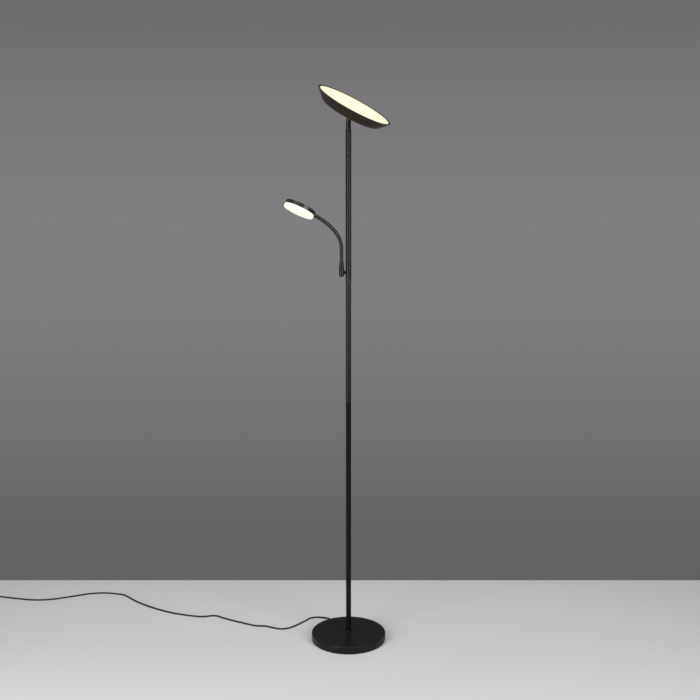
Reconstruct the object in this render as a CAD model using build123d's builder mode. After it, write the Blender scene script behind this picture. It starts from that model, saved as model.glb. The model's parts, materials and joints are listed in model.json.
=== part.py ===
"""A torchiere floor lamp with a tilting uplighter bowl and a gooseneck reading arm.

Millimetres, +Z up. The origin is the centre of the base's underside, on the floor. -Y is the front,
and the reading arm stands on the -X side.
"""

import os
from math import cos, pi, radians, sin

from build123d import *

# ---- driving dimensions -------------------------------------------------------------------------

BASE_RADIUS = 122.5
BASE_HEIGHT = 25.0
COVER_WALL = 1.5
PAD_THICKNESS = 2.0
LEAD_HEIGHT = 7.0  # axis of the mains lead where it passes the base's skirt
LEAD_AZIMUTH = 115.0  # direction in which the lead leaves the base, from +X
STUD_RADIUS = 6.0
STUD_BORE = 3.5

LOWER_TUBE_RADIUS = 8.4
UPPER_TUBE_RADIUS = 9.0
LOWER_WALL = 1.2
UPPER_WALL = 1.0
TUBE_FOOT = 29.0
TUBE_STEP = 1189.0  # where the thinner tubes end and the thicker upper tube begins
TUBE_TOP = 1666.0
TOUCH_RING_HEIGHT = 12.0

ARM_HEIGHT = 1222.7  # axis of the stub that carries the reading arm
ARM_REACH = 22.0  # from the pole's axis to the swivel's axis
ARM_AZIMUTH = 205.0  # direction in which the reading arm points at rest, from +X
SOCKET_RADIUS = 8.0
SOCKET_TOP = 1240.0
SPINDLE_RADIUS = 4.0
COLLAR_TOP = 1255.6

NECK_RADIUS = 6.0
NECK_BORE = 3.0
LINK_LENGTH = 23.3
LINK_GAP = 1.7
LINK_TURNS = (0, 2, 21, 14, 10, 6, 6, 4)  # how much each link bends outward at rest, in degrees

READ_RADIUS = 48.8
READ_HOUSING = 12.0
READ_DRUM = 12.0
FERRULE_LENGTH = 6.0

PIVOT_HEIGHT = 1704.0  # the tilt hinge of the uplighter
HEAD_TILT = 31.0
HEAD_AZIMUTH = -26.7  # the side that the uplighter faces at rest, from +X
STEM_RADIUS = 7.5
FORK_HEIGHT = 1690.0
KNUCKLE_RADIUS = 5.5
BOWL_GAP = 8.0  # from the tilt hinge to the bowl's underside
BOWL_DEPTH = 33.5
BOWL_FLOOR_RADIUS = 94.0
BOWL_RIM_RADIUS = 125.2
BOWL_WALL = 1.2
LIT_RADIUS = 118.8

CORD_RADIUS = 2.75
COIL_CENTRE = (-1362.0, 318.0)
COIL_TURN_RADIUS = 35.75
COIL_RADII = (27.5, 38.5)
COIL_HEIGHT = 10.3
TOP_TURN_RADIUS = 33.0
PLUG_ANGLE = 234.0  # where the last turn leaves the coil for the plug
PLUG_HEIGHT = 6.85

FIT = 0.05  # radial clearance of a running fit


# ---- helpers ------------------------------------------------------------------------------------


def turned(outline, section=Plane.XZ, axis=Axis.Z):
    """A piece turned about an axis from its half outline of (radius, height) points."""
    with BuildPart() as piece:
        with BuildSketch(section):
            with BuildLine():
                Polyline(*outline, close=True)
            make_face()
        revolve(axis=axis)
    return piece


def tube(radius, bore, bottom, top):
    """An upright tube on the pole's axis."""
    with BuildPart() as piece:
        with BuildSketch(Plane.XY.offset(bottom)):
            Circle(radius)
            Circle(bore, mode=Mode.SUBTRACT)
        extrude(amount=top - bottom)
    return piece


def hex_nut(plane, across_flats, height, bore):
    """A hexagon nut that stands on a plane."""
    with BuildPart() as piece:
        with BuildSketch(plane):
            RegularPolygon(across_flats / 2, 6, major_radius=False)
            Circle(bore, mode=Mode.SUBTRACT)
        extrude(amount=height)
    return piece


def disc(plane, radius, height, bore=0.0):
    """A flat disc or ring that stands on a plane."""
    with BuildPart() as piece:
        with BuildSketch(plane):
            Circle(radius)
            if bore:
                Circle(bore, mode=Mode.SUBTRACT)
        extrude(amount=height)
    return piece


# ---- base ---------------------------------------------------------------------------------------

cover_under = BASE_HEIGHT - COVER_WALL
lead_side = Vector(cos(radians(LEAD_AZIMUTH)), sin(radians(LEAD_AZIMUTH)), 0)
skirt_plane = Plane(
    origin=lead_side * (BASE_RADIUS - 4) + Vector(0, 0, LEAD_HEIGHT), z_dir=lead_side, x_dir=(0, 0, 1)
)
gland_tip = BASE_RADIUS + 20.0

with BuildPart() as base_cover:
    with BuildSketch(Plane.XY.offset(1)):
        Circle(BASE_RADIUS)
    extrude(amount=BASE_HEIGHT - 1)
    fillet(base_cover.faces().sort_by(Axis.Z)[-1].edges(), radius=2.5)
    with BuildSketch(Plane.XY.offset(1)):
        Circle(BASE_RADIUS - COVER_WALL)
    extrude(amount=cover_under - 1, mode=Mode.SUBTRACT)
    with BuildSketch(Plane.XY.offset(BASE_HEIGHT)):
        Circle(STUD_RADIUS + 0.2)
    extrude(amount=-COVER_WALL, mode=Mode.SUBTRACT)
    with BuildSketch(skirt_plane):
        Circle(4.1)
    extrude(amount=8, mode=Mode.SUBTRACT)

weight_top = cover_under - 0.1
recess_radius = 90.0
recess_top = 18.0
with BuildPart() as base_weight:
    with BuildSketch(Plane.XY.offset(PAD_THICKNESS)):
        Circle(BASE_RADIUS - COVER_WALL - 1.2)
    extrude(amount=weight_top - PAD_THICKNESS)
    fillet(base_weight.faces().sort_by(Axis.Z)[-1].edges(), radius=1.5)
    with BuildSketch(Plane.XY.offset(PAD_THICKNESS)):
        Circle(recess_radius)
    extrude(amount=recess_top - PAD_THICKNESS, mode=Mode.SUBTRACT)
    with BuildSketch(Plane.XY.offset(weight_top)):
        Circle(STUD_RADIUS + 0.2)
    extrude(amount=recess_top - weight_top, mode=Mode.SUBTRACT)
    with BuildSketch(Plane(origin=(0, 0, PAD_THICKNESS), x_dir=lead_side, z_dir=(0, 0, 1))):
        with Locations((BASE_RADIUS / 2, 0)):
            Rectangle(BASE_RADIUS, 10.2)
    extrude(amount=10, mode=Mode.SUBTRACT)

base_pad = disc(Plane.XY, BASE_RADIUS - 4, PAD_THICKNESS)

base_collar = turned(
    [
        (STUD_RADIUS + 0.2, BASE_HEIGHT),
        (11, BASE_HEIGHT),
        (11, BASE_HEIGHT + 2.6),
        (9.6, TUBE_FOOT),
        (STUD_RADIUS + 0.2, TUBE_FOOT),
    ]
)

base_stud = tube(STUD_RADIUS, STUD_BORE, 12.5, 54)
base_washer = disc(Plane.XY.offset(16.8), 14, recess_top - 16.8, bore=STUD_RADIUS + FIT)
base_nut = hex_nut(Plane.XY.offset(12.8), 19, 4, STUD_RADIUS + FIT)

gland_section = Plane(
    origin=(0, 0, LEAD_HEIGHT), x_dir=(0, 0, 1), z_dir=Vector(0, 0, 1).cross(lead_side)
)
gland_axis = Axis((0, 0, LEAD_HEIGHT), lead_side)
lead_bore = CORD_RADIUS + FIT
cord_gland = turned(
    [
        (lead_bore, BASE_RADIUS - 6),
        (4.9, BASE_RADIUS - 6),
        (4.9, BASE_RADIUS - 2.2),
        (3.9, BASE_RADIUS - 2.2),
        (3.9, BASE_RADIUS + 0.3),
        (5.6, BASE_RADIUS + 0.3),
        (5.2, BASE_RADIUS + 3.5),
        (3.7, gland_tip),
        (lead_bore, gland_tip),
    ],
    gland_section,
    gland_axis,
)

lead_bend = 7.0
bush_bottom = TUBE_TOP - 30
with BuildPart() as inner_lead:
    with BuildLine():
        FilletPolyline(
            lead_side * gland_tip + Vector(0, 0, LEAD_HEIGHT),
            (0, 0, LEAD_HEIGHT),
            (0, 0, bush_bottom - 16),
            radius=lead_bend,
        )
    with BuildSketch(
        Plane(origin=lead_side * gland_tip + Vector(0, 0, LEAD_HEIGHT), z_dir=-lead_side)
    ):
        Circle(CORD_RADIUS)
    sweep()

# ---- pole ---------------------------------------------------------------------------------------

LOWER_BORE = LOWER_TUBE_RADIUS - LOWER_WALL
UPPER_BORE = UPPER_TUBE_RADIUS - UPPER_WALL
tube_length = (TUBE_STEP - TUBE_FOOT) / 3
seams = [TUBE_FOOT + k * tube_length for k in range(4)]

bottom_tube, lower_tube, middle_tube = (
    tube(LOWER_TUBE_RADIUS, LOWER_BORE, seams[k], seams[k + 1]) for k in range(3)
)
with BuildPart() as tube_inserts:
    for bore, level, length in (
        (STUD_RADIUS + FIT, TUBE_FOOT + 1, 30),
        (4.5, seams[1] - 25, 50),
        (4.5, seams[2] - 25, 50),
    ):
        with BuildSketch(Plane.XY.offset(level)):
            Circle(LOWER_BORE - FIT)
            Circle(bore, mode=Mode.SUBTRACT)
        extrude(amount=length)

ring_bottom = TUBE_STEP + 1
ring_top = ring_bottom + TOUCH_RING_HEIGHT
upper_foot = ring_top + 1
touch_ring = tube(UPPER_TUBE_RADIUS, UPPER_BORE, ring_bottom, ring_top)
with BuildPart() as touch_insulators:
    with BuildSketch(Plane.XZ):
        with BuildLine():
            Polyline(
                (4.5, TUBE_STEP - 24),
                (LOWER_BORE - FIT, TUBE_STEP - 24),
                (LOWER_BORE - FIT, TUBE_STEP),
                (UPPER_TUBE_RADIUS - 0.2, TUBE_STEP),
                (UPPER_TUBE_RADIUS - 0.2, ring_bottom),
                (UPPER_BORE - FIT, ring_bottom),
                (UPPER_BORE - FIT, upper_foot + 9),
                (4.5, upper_foot + 9),
                close=True,
            )
        make_face()
    revolve(axis=Axis.Z)
    with BuildSketch(Plane.XY.offset(ring_top)):
        Circle(UPPER_TUBE_RADIUS - 0.2)
        Circle(UPPER_BORE, mode=Mode.SUBTRACT)
    extrude(amount=1)

with BuildPart() as upper_tube:
    with BuildSketch(Plane.XY.offset(upper_foot)):
        Circle(UPPER_TUBE_RADIUS)
        Circle(UPPER_BORE, mode=Mode.SUBTRACT)
    extrude(amount=TUBE_TOP - upper_foot)
    with BuildSketch(Plane(origin=(-12, 0, ARM_HEIGHT), x_dir=(0, 1, 0), z_dir=(1, 0, 0))):
        Circle(3.0)
    extrude(amount=6, mode=Mode.SUBTRACT)

top_bush = tube(UPPER_BORE - FIT, 6 + FIT, bush_bottom, TUBE_TOP)

# ---- fitting that carries the reading arm -----------------------------------------------------------

stub_plane = Plane(origin=(0, 0, ARM_HEIGHT), x_dir=(0, 1, 0), z_dir=(1, 0, 0))
socket_place = (-ARM_REACH, 0, 0)
socket_section = Plane(origin=socket_place, x_dir=(1, 0, 0), z_dir=(0, -1, 0))
socket_axis = Axis(socket_place, (0, 0, 1))
pocket_radius = 6.2
socket_foot = ARM_HEIGHT - 10.2
pocket_top = ARM_HEIGHT - 3.7

with BuildPart() as arm_stub:
    with BuildSketch(stub_plane.offset(-16)):
        Circle(6)
    extrude(amount=8)
    with Locations((-ARM_REACH, 0, ARM_HEIGHT)):
        Cylinder(SOCKET_RADIUS + 0.02, 20, mode=Mode.SUBTRACT)
    with Locations((0, 0, ARM_HEIGHT)):
        Cylinder(UPPER_TUBE_RADIUS + 0.02, 20, mode=Mode.SUBTRACT)
    with BuildSketch(stub_plane.offset(-17.7)):
        Circle(2.9)
    extrude(amount=14.7)
    with BuildSketch(stub_plane.offset(-17.7)):
        Circle(1.6)
    extrude(amount=14.7, mode=Mode.SUBTRACT)

with BuildPart() as stub_saddle:
    with BuildSketch(Plane.XY.offset(ARM_HEIGHT - 5)):
        Circle(UPPER_BORE - FIT)
        with Locations((4.5, 0)):
            Rectangle(20, 20, mode=Mode.SUBTRACT)
    extrude(amount=10)
    with BuildSketch(stub_plane.offset(-9)):
        Circle(3.0)
    extrude(amount=4, mode=Mode.SUBTRACT)

stub_nut = hex_nut(stub_plane.offset(-5.4), 8, 2.5, 2.95)

with BuildPart() as arm_socket:
    with BuildSketch(socket_section):
        with BuildLine():
            Polyline(
                (SPINDLE_RADIUS + FIT, SOCKET_TOP),
                (SOCKET_RADIUS - 1, SOCKET_TOP),
                (SOCKET_RADIUS, SOCKET_TOP - 1),
                (SOCKET_RADIUS, socket_foot),
                (pocket_radius, socket_foot),
                (pocket_radius, pocket_top),
                (SPINDLE_RADIUS + FIT, pocket_top),
                close=True,
            )
        make_face()
    revolve(axis=socket_axis)
    with BuildSketch(stub_plane.offset(-ARM_REACH)):
        Circle(3.0)
    extrude(amount=SOCKET_RADIUS + 2, mode=Mode.SUBTRACT)

socket_base = Plane(origin=(-ARM_REACH, 0, socket_foot))
with BuildPart() as socket_cap:
    with BuildSketch(socket_base.offset(-3.2)):
        Circle(SOCKET_RADIUS)
    extrude(amount=3.2)
    fillet(socket_cap.faces().sort_by(Axis.Z)[0].edges(), radius=2.6)
    with BuildSketch(socket_base):
        Circle(pocket_radius - FIT)
    extrude(amount=1.4)

spindle_end = socket_foot + 1.8
spindle_shoulder = SOCKET_TOP + 0.3
arm_spindle = turned(
    [
        (2.2, spindle_end),
        (SPINDLE_RADIUS, spindle_end),
        (SPINDLE_RADIUS, spindle_shoulder),
        (7, spindle_shoulder),
        (7, COLLAR_TOP - 1.2),
        (NECK_RADIUS, COLLAR_TOP),
        (2.2, COLLAR_TOP),
    ],
    socket_section,
    socket_axis,
)
spindle_nut = disc(
    Plane(origin=(-ARM_REACH, 0, pocket_top - 4.1)), 5.7, 3.8, bore=SPINDLE_RADIUS + FIT
)

# ---- gooseneck ----------------------------------------------------------------------------------

arm_side = Vector(cos(radians(ARM_AZIMUTH)), sin(radians(ARM_AZIMUTH)), 0)
arm_across = Vector(0, 0, 1).cross(arm_side)
neck_origin = Vector(-ARM_REACH, 0, 0)


def neck_point(reach, height):
    """A point in the arm's upright plane."""
    return neck_origin + arm_side * reach + Vector(0, 0, height)


def neck_direction(slope):
    """The direction that rises at a slope, in degrees, in the arm's upright plane."""
    return arm_side * cos(radians(slope)) + Vector(0, 0, sin(radians(slope)))


def along(reach, height, slope, length, turn):
    """The place and slope after a length of neck that bends outward by a turn."""
    if turn == 0:
        return reach + length * cos(radians(slope)), height + length * sin(radians(slope)), slope
    bend = length / radians(turn)
    end = slope - turn
    return (
        reach + bend * (sin(radians(slope)) - sin(radians(end))),
        height + bend * (cos(radians(end)) - cos(radians(slope))),
        end,
    )


neck_joints = [(0.0, COLLAR_TOP, 90.0)]
for link_turn in LINK_TURNS:
    neck_joints.append(along(*neck_joints[-1], LINK_LENGTH, link_turn))

links = []
for number, link_turn in enumerate(LINK_TURNS, start=1):
    lead_in = 0.0 if number == 1 else LINK_GAP / 2
    lead_out = 0.0 if number == len(LINK_TURNS) else LINK_GAP / 2
    body_length = LINK_LENGTH - lead_in - lead_out
    start = along(*neck_joints[number - 1], lead_in, link_turn * lead_in / LINK_LENGTH)
    middle = along(*start, body_length / 2, link_turn * body_length / 2 / LINK_LENGTH)
    end = along(*start, body_length, link_turn * body_length / LINK_LENGTH)
    with BuildPart() as link:
        with BuildLine():
            if link_turn == 0:
                Line(neck_point(*start[:2]), neck_point(*end[:2]))
            else:
                ThreePointArc(
                    neck_point(*start[:2]), neck_point(*middle[:2]), neck_point(*end[:2])
                )
        with BuildSketch(
            Plane(origin=neck_point(*start[:2]), z_dir=neck_direction(start[2]), x_dir=arm_across)
        ):
            Circle(NECK_RADIUS)
            Circle(NECK_BORE, mode=Mode.SUBTRACT)
        sweep()
    links.append(link)

# ---- reading head -------------------------------------------------------------------------------

neck_end = neck_joints[-1]
read_out = neck_direction(neck_end[2])
read_back = neck_direction(neck_end[2] + 90)
housing_edge = READ_HOUSING / 2
read_place = neck_point(*neck_end[:2]) + read_out * (FERRULE_LENGTH + READ_RADIUS)
read = Plane(origin=read_place, x_dir=read_out, z_dir=read_back)
read_section = Plane(origin=read_place, x_dir=read_out, z_dir=read_out.cross(read_back))
read_axis = Axis(read_place, read_back)
ferrule_plane = Plane(origin=neck_point(*neck_end[:2]), x_dir=arm_across, z_dir=read_out)
read_wall = 1.5
plate_level = -1.2

with BuildPart() as read_housing:
    with BuildSketch(read.offset(-housing_edge)):
        Circle(READ_RADIUS)
    extrude(amount=READ_HOUSING)
    fillet(read_housing.faces().sort_by(read_axis)[-1].edges(), radius=2)
    with BuildSketch(read.offset(-housing_edge)):
        Circle(READ_RADIUS - read_wall)
    extrude(amount=READ_HOUSING - read_wall, mode=Mode.SUBTRACT)
    with BuildSketch(ferrule_plane.offset(FERRULE_LENGTH - 2)):
        Circle(4.1)
    extrude(amount=8, mode=Mode.SUBTRACT)
    with BuildSketch(read.offset(0.8)):
        with PolarLocations(33, 3, start_angle=60):
            Circle(3.5)
    extrude(amount=housing_edge - read_wall - 0.8)

drum_bottom = -housing_edge - READ_DRUM
drum_radius = READ_RADIUS - 0.7
drum_spigot = 0.9
with BuildPart() as read_diffuser:
    with BuildSketch(read.offset(drum_bottom)):
        Circle(drum_radius)
    extrude(amount=READ_DRUM)
    fillet(read_diffuser.faces().sort_by(read_axis)[0].edges(), radius=2)
    with BuildSketch(read.offset(-housing_edge)):
        Circle(READ_RADIUS - read_wall - 0.1)
    extrude(amount=drum_spigot)
    with BuildSketch(read.offset(drum_bottom + 2.2)):
        Circle(READ_RADIUS - read_wall - 2.2)
    extrude(amount=READ_DRUM - 2.2 + drum_spigot, mode=Mode.SUBTRACT)

read_plate = disc(read.offset(plate_level), 41, 2)
read_board = disc(read.offset(plate_level - 1.2), 40, 1.2)
with BuildPart() as read_leds:
    with BuildSketch(read.offset(plate_level - 2)):
        for ring_radius, count in ((15, 8), (28, 16)):
            with PolarLocations(ring_radius, count):
                Rectangle(3, 3)
    extrude(amount=0.8)
with BuildPart() as read_screws:
    with BuildSketch(read.offset(plate_level - 2.8)):
        with PolarLocations(33, 3, start_angle=60):
            Circle(2.7)
    extrude(amount=1.6)

with BuildPart() as read_ferrule:
    with BuildSketch(ferrule_plane):
        Circle(NECK_RADIUS)
    extrude(amount=FERRULE_LENGTH)
    with BuildSketch(ferrule_plane.offset(FERRULE_LENGTH)):
        Circle(4)
    extrude(amount=6)
    with BuildSketch(ferrule_plane):
        Circle(1.8)
    extrude(amount=FERRULE_LENGTH + 6, mode=Mode.SUBTRACT)
read_nut = hex_nut(ferrule_plane.offset(FERRULE_LENGTH + 1.9), 8.6, 2.5, 4 + FIT)

# ---- swivel and fork that carry the uplighter -----------------------------------------------------

pivot = Vector(0, 0, PIVOT_HEIGHT)
side = Vector(cos(radians(HEAD_AZIMUTH)), sin(radians(HEAD_AZIMUTH)), 0)
hinge = Vector(0, 0, 1).cross(side)
upright = Plane(origin=pivot, x_dir=side, z_dir=(0, 0, 1))
across = Plane(origin=pivot, x_dir=side, z_dir=-hinge)
cheek_outer = 6.4
cheek_inner = 2.6
tongue_half = 2.1

with BuildPart() as neck_stem:
    with BuildSketch(Plane.XY.offset(TUBE_TOP + 0.4)):
        Circle(STEM_RADIUS)
    extrude(amount=PIVOT_HEIGHT + KNUCKLE_RADIUS - TUBE_TOP - 0.4)
    with BuildSketch(Plane.XY.offset(bush_bottom - 8)):
        Circle(5)
    extrude(amount=8)
    with BuildSketch(Plane.XY.offset(bush_bottom)):
        Circle(6)
    extrude(amount=TUBE_TOP + 0.4 - bush_bottom)
    with BuildSketch(Plane.XY.offset(bush_bottom - 8)):
        Circle(3)
    extrude(amount=FORK_HEIGHT - bush_bottom, mode=Mode.SUBTRACT)
    with BuildSketch(upright.offset(FORK_HEIGHT - PIVOT_HEIGHT)):
        Rectangle(20, 20)
        Rectangle(2 * KNUCKLE_RADIUS, 2 * cheek_outer, mode=Mode.SUBTRACT)
    extrude(amount=30, mode=Mode.SUBTRACT)
    with BuildSketch(across.offset(-10)):
        with Locations((0, -50)):
            Rectangle(20, 100)
        Circle(KNUCKLE_RADIUS)
    extrude(amount=20, mode=Mode.INTERSECT)
    with BuildSketch(upright.offset(-6.5)):
        Rectangle(20, 2 * cheek_inner)
    extrude(amount=20, mode=Mode.SUBTRACT)
    with BuildSketch(across.offset(-10)):
        Circle(2 + FIT)
    extrude(amount=20, mode=Mode.SUBTRACT)

swivel_nut = disc(Plane.XY.offset(bush_bottom - 5.5), 7.6, 5, bore=5 + FIT)

with BuildPart() as tilt_screw:
    with BuildSketch(across.offset(cheek_outer)):
        Circle(3.8)
    extrude(amount=1.8)
    fillet(tilt_screw.faces().sort_by(Axis(pivot, -hinge))[-1].edges(), radius=0.6)
    with BuildSketch(across.offset(-8.6)):
        Circle(2)
    extrude(amount=8.6 + cheek_outer)
    with BuildSketch(across.offset(cheek_outer + 0.8)):
        RegularPolygon(1.25, 6, major_radius=False)
    extrude(amount=2, mode=Mode.SUBTRACT)
tilt_nut = hex_nut(across.offset(-cheek_outer - 2.4), 7, 2.4, 2 + FIT)

with BuildPart() as tilt_washers:
    for level in (tongue_half + FIT, -cheek_inner):
        with BuildSketch(across.offset(level)):
            Circle(5.2)
            Circle(2.1, mode=Mode.SUBTRACT)
        extrude(amount=cheek_inner - tongue_half - FIT)

# ---- uplighter ----------------------------------------------------------------------------------

tilt = radians(HEAD_TILT)
head_out = side * cos(tilt) - Vector(0, 0, sin(tilt))
head_up = side * sin(tilt) + Vector(0, 0, cos(tilt))
head = Plane(origin=pivot, x_dir=head_out, z_dir=head_up)
head_section = Plane(origin=pivot, x_dir=head_out, z_dir=head_out.cross(head_up))
head_axis = Axis(pivot, head_up)
flange_level = BOWL_GAP - 2
floor_level = BOWL_GAP + BOWL_WALL
rim_level = BOWL_GAP + BOWL_DEPTH
shell_top = rim_level - 1.2
screw_circle = 8.5

with BuildPart() as tilt_bracket:
    with BuildSketch(head_section.offset(-tongue_half)):
        Circle(KNUCKLE_RADIUS - 0.2)
        with Locations((0, flange_level / 2)):
            Rectangle(2 * KNUCKLE_RADIUS - 0.4, flange_level)
    extrude(amount=2 * tongue_half)
    with BuildSketch(head.offset(flange_level)):
        Circle(12)
    extrude(amount=2)
    with BuildSketch(head.offset(flange_level)):
        with PolarLocations(screw_circle, 3, start_angle=90):
            Circle(1.5)
    extrude(amount=2, mode=Mode.SUBTRACT)
    with BuildSketch(head_section.offset(-tongue_half)):
        Circle(2 + FIT)
    extrude(amount=2 * tongue_half, mode=Mode.SUBTRACT)

bowl_run = BOWL_RIM_RADIUS - BOWL_FLOOR_RADIUS
shell_radius = BOWL_FLOOR_RADIUS + bowl_run * (shell_top - BOWL_GAP) / BOWL_DEPTH
slant_wall = BOWL_WALL * (bowl_run**2 + BOWL_DEPTH**2) ** 0.5 / BOWL_DEPTH
inner_corner = BOWL_FLOOR_RADIUS - slant_wall + bowl_run * BOWL_WALL / BOWL_DEPTH
bowl_corner = 14.0
lead_hole = 3.5
with BuildPart() as head_bowl:
    with BuildSketch(head_section):
        with BuildLine():
            FilletPolyline(
                (lead_hole, BOWL_GAP),
                (BOWL_FLOOR_RADIUS, BOWL_GAP),
                (shell_radius, shell_top),
                radius=bowl_corner,
            )
            Line((shell_radius, shell_top), (shell_radius - slant_wall, shell_top))
            FilletPolyline(
                (shell_radius - slant_wall, shell_top),
                (inner_corner, floor_level),
                (lead_hole, floor_level),
                radius=bowl_corner - BOWL_WALL,
            )
            Line((lead_hole, floor_level), (lead_hole, BOWL_GAP))
        make_face()
    revolve(axis=head_axis)
    with BuildSketch(head.offset(BOWL_GAP)):
        with PolarLocations(screw_circle, 3, start_angle=90):
            Circle(1.6)
    extrude(amount=BOWL_WALL, mode=Mode.SUBTRACT)

head_rim = turned(
    [
        (LIT_RADIUS, shell_top - 0.4),
        (LIT_RADIUS + 1.0, shell_top - 0.4),
        (LIT_RADIUS + 1.0, shell_top),
        (shell_radius, shell_top),
        (BOWL_RIM_RADIUS, rim_level),
        (LIT_RADIUS, rim_level),
    ],
    head_section,
    head_axis,
)
diffuser_thickness = 2.5
head_diffuser = disc(
    head.offset(shell_top - 0.4 - diffuser_thickness), LIT_RADIUS + 0.6, diffuser_thickness
)

tray_level = 24.0
tray_top = tray_level + 1.5
spacer_circle = 34.0
with BuildPart() as head_spacers:
    with BuildSketch(head.offset(floor_level)):
        with PolarLocations(spacer_circle, 4, start_angle=45):
            Circle(3)
            Circle(1.5, mode=Mode.SUBTRACT)
    extrude(amount=tray_level - floor_level)
with BuildPart() as head_tray:
    with BuildSketch(head.offset(tray_level)):
        Circle(104)
        with PolarLocations(spacer_circle, 4, start_angle=45):
            Circle(1.6, mode=Mode.SUBTRACT)
    extrude(amount=1.5)
with BuildPart() as head_screws:
    for level, shank, ring_radius, count, first_angle in (
        (floor_level, floor_level - flange_level - 0.2, screw_circle, 3, 90),
        (tray_top, 7.5, spacer_circle, 4, 45),
    ):
        with BuildSketch(head.offset(level)):
            with PolarLocations(ring_radius, count, start_angle=first_angle):
                Circle(2.7)
        extrude(amount=1.6)
        with BuildSketch(head.offset(level)):
            with PolarLocations(ring_radius, count, start_angle=first_angle):
                Circle(1.45)
        extrude(amount=-shank)
head_board = disc(head.offset(tray_top), 98, 1.2, bore=45)
with BuildPart() as head_leds:
    with BuildSketch(head.offset(tray_top + 1.2)):
        for ring_radius, count in ((60, 24), (85, 36)):
            with PolarLocations(ring_radius, count):
                Rectangle(3, 3)
    extrude(amount=0.8)
driver_near = 43.0
with BuildPart() as head_driver:
    with BuildSketch(head.offset(floor_level)):
        with Locations((driver_near + 19, 0)):
            RectangleRounded(38, 66, 3)
    extrude(amount=13)
with BuildPart() as head_lead:
    with BuildLine(head):
        FilletPolyline((0, 0, BOWL_GAP + 0.1), (0, 0, 17), (driver_near, 0, 17), radius=6)
    with BuildSketch(head.offset(BOWL_GAP + 0.1)):
        Circle(2.2)
    sweep()

# ---- mains lead on the floor ---------------------------------------------------------------------

exit_point = lead_side * gland_tip + Vector(0, 0, LEAD_HEIGHT)
coil_top = COIL_CENTRE[1] + COIL_TURN_RADIUS
CORD_ROUTE = [
    exit_point,
    exit_point + lead_side * 13.5,
    (-76.5, 154.5, 5.8),
    (-92.0, 161.0, 4.2),
    (-112.0, 168.0, CORD_RADIUS),
    (-133.0, 161.0, CORD_RADIUS),
    (-149.0, 138.0, CORD_RADIUS),
    (-178.0, 100.0, CORD_RADIUS),
    (-207.0, 71.5, CORD_RADIUS),
    (-236.0, 68.0, CORD_RADIUS),
    (-262.0, 80.5, CORD_RADIUS),
    (-288.0, 94.5, CORD_RADIUS),
    (-317.0, 92.5, CORD_RADIUS),
    (-349.0, 109.5, CORD_RADIUS),
    (-403.0, 138.0, CORD_RADIUS),
    (-441.0, 161.0, CORD_RADIUS),
    (-461.0, 178.0, CORD_RADIUS),
    (-482.0, 180.5, CORD_RADIUS),
    (-509.0, 169.0, CORD_RADIUS),
    (-546.0, 176.5, CORD_RADIUS),
    (-601.0, 193.0, CORD_RADIUS),
    (-656.0, 219.0, CORD_RADIUS),
    (-713.0, 256.0, CORD_RADIUS),
    (-769.0, 300.5, CORD_RADIUS),
    (-807.0, 342.0, CORD_RADIUS),
    (-832.0, 369.5, CORD_RADIUS),
    (-860.0, 377.5, CORD_RADIUS),
    (-905.0, 389.0, CORD_RADIUS),
    (-962.0, 382.0, CORD_RADIUS),
    (-1025.0, 352.0, CORD_RADIUS),
    (-1092.0, 323.0, CORD_RADIUS),
    (-1160.0, 319.0, CORD_RADIUS),
    (-1228.0, 336.0, CORD_RADIUS),
    (-1277.0, 351.0, CORD_RADIUS),
    (-1318.0, coil_top, CORD_RADIUS),
    (-1350.0, coil_top, CORD_RADIUS),
]

corners = [Vector(point) for point in CORD_ROUTE]
runs = [after - before for before, after in zip(corners, corners[1:])]
cord_radii = []
for run_in, run_out in zip(runs, runs[1:]):
    half_turn = radians(run_in.get_angle(run_out)) / 2
    cord_radii.append(0.45 * min(run_in.length, run_out.length) * cos(half_turn) / sin(half_turn))
print("cord radii", [round(radius, 1) for radius in cord_radii])

with BuildPart() as cord_lead:
    with BuildLine() as cord_line:
        FilletPolyline(*CORD_ROUTE, radius=cord_radii)
    with BuildSketch(Plane(origin=corners[0], z_dir=runs[0])):
        Circle(CORD_RADIUS)
    sweep()
cord_length = cord_line.wires()[0].length
print("cord tube length", round(cord_length, 1), "mm")
print("section times length", round(pi * CORD_RADIUS**2 * cord_length, 1), "mm3")
print("cord tube volume", round(cord_lead.part.volume, 1), "mm3")

coil_place = Vector(*COIL_CENTRE, 0)
with BuildPart() as cord_coil:
    with BuildSketch(Plane(origin=coil_place, x_dir=(1, 0, 0), z_dir=(0, -1, 0))):
        with Locations((sum(COIL_RADII) / 2, COIL_HEIGHT / 2)):
            RectangleRounded(COIL_RADII[1] - COIL_RADII[0], COIL_HEIGHT, 2.6)
    revolve(axis=Axis(coil_place, (0, 0, 1)))

plug_turn = radians(PLUG_ANGLE)
plug_way = Vector(-sin(plug_turn), cos(plug_turn), 0)
plug_across = Vector(0, 0, 1).cross(plug_way)
leaving = coil_place + Vector(cos(plug_turn), sin(plug_turn), 0) * TOP_TURN_RADIUS
plug_tip = leaving + plug_way * 20
plug_plan = Plane(origin=plug_tip, x_dir=plug_way, z_dir=(0, 0, 1))
plug_face = Plane(origin=plug_tip + Vector(0, 0, PLUG_HEIGHT), x_dir=plug_across, z_dir=plug_way)
relief_length = 20.0
plug_front = 54.0
half_width = 17.6

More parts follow.
